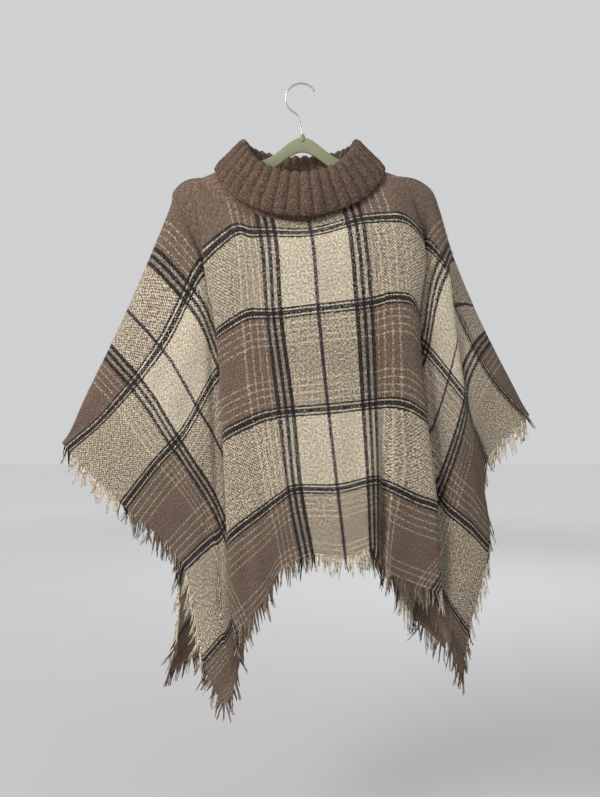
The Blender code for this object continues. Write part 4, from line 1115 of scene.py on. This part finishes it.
def add_stage():
    """Pale floor under the hung garment, with painted shade that darkens it near the garment and fades out
    far off.
    """
    mesh = bpy.data.meshes.new("floor")
    corners = ((-1, -1), (1, -1), (1, 1), (-1, 1))
    mesh.from_pydata([(x * FLOOR_HALF, y * FLOOR_HALF, FLOOR_HEIGHT) for x, y in corners], [], [(0, 1, 2, 3)])
    graph = Graph("floor_pale_painted_shade")
    place_at = graph.object_place()
    reach = graph.node("VectorMath", {0: place_at}, operation="LENGTH").outputs["Value"]
    # Painted shade: the floor is darker near the garment and lighter far off
    tone = graph.mix(graph.spread(reach, FLOOR_SHADE_FROM, FLOOR_SHADE_TO), FLOOR_SHADED_NEAR, FLOOR_FAR)
    cloud = graph.spread(graph.noise(place_at, 3.0, 3.0), 0.3, 0.7, 0.985, 1.0)
    mesh.materials.append(graph.finish({"Base Color": graph.mix(1.0, tone, cloud, "MULTIPLY"),
                                        "Roughness": 0.8}))
    link_object("floor", mesh)


def add_light(name, place_at, size, watts, color):
    """Square soft light that faces the garment."""
    data = bpy.data.lights.new(name, "AREA")
    data.shape = "SQUARE"
    data.size = size
    data.energy = watts
    data.color = color
    light = link_object(name, data)
    light.location = place_at
    facing = Vector(LIT_POINT) - Vector(place_at)
    light.rotation_euler = facing.to_track_quat("-Z", "Y").to_euler()


def add_lights():
    """Soft daylight from the upper left, a weaker light behind, and a pale surround."""
    add_light("window", (-1.9, -1.7, 1.0), size=1.2, watts=58.0, color=(1.0, 0.985, 0.96))
    add_light("behind", (0.6, 2.4, 0.8), size=2.0, watts=24.0, color=(1.0, 1.0, 1.0))
    world = bpy.data.worlds.new("pale")
    bpy.context.scene.world = world
    world.use_nodes = True
    background = world.node_tree.nodes["Background"]
    background.inputs["Color"].default_value = SURROUND
    background.inputs["Strength"].default_value = SURROUND_STRENGTH
    bpy.context.scene.view_settings.view_transform = "Standard"


def add_camera():
    """Camera at the eye, square to the hanger's plane."""
    data = bpy.data.cameras.new("camera")
    data.sensor_width = 36.0
    data.lens = data.sensor_width / 2.0 * EYE_DISTANCE / VIEW_HALF_HEIGHT
    data.clip_start = 0.05
    camera = link_object("camera", data)
    camera.location = (0.0, -EYE_DISTANCE * CM, -EYE_DROP * CM)
    camera.rotation_euler = (math.pi / 2.0, 0.0, 0.0)
    bpy.context.scene.camera = camera


def main():
    plaid = plaid_material()
    warp = fringe_material("fringe_warp_yarn", warp_color, 0)
    weft = fringe_material("fringe_weft_yarn", weft_color, 1)
    front, front_grid = add_panel("front_cloth", "front_panel", Cloth(FRONT_FOLDS, 1, FRONT_CREASES),
                                  NECK_FRONT, plaid)
    back, back_grid = add_panel("back_cloth", "back_panel", Cloth(BACK_FOLDS, -1, BACK_CREASES),
                                NECK_BACK, plaid)
    front_yarns = add_fringes("front", front_grid, warp, weft, seed=31)
    back_yarns = add_fringes("back", back_grid, warp, weft, seed=47)
    collar = add_collar(knit_material("collar_knit", pale=1.08))
    # The band is the collar's yarn painted much lighter, as painted light against the shade under the turned
    # collar
    band = add_neck_band(front_grid, back_grid, knit_material("band_knit_painted_light", pale=1.65))
    add_hanger(hanger_material())
    add_hook(chrome_material())
    nap = nap_material()
    add_nap("front_nap", front_grid, nap, NAP_COUNT[0], seed=5)
    add_nap("back_nap", back_grid, nap, NAP_COUNT[1], seed=6)
    add_stage()
    add_lights()
    add_camera()


main()
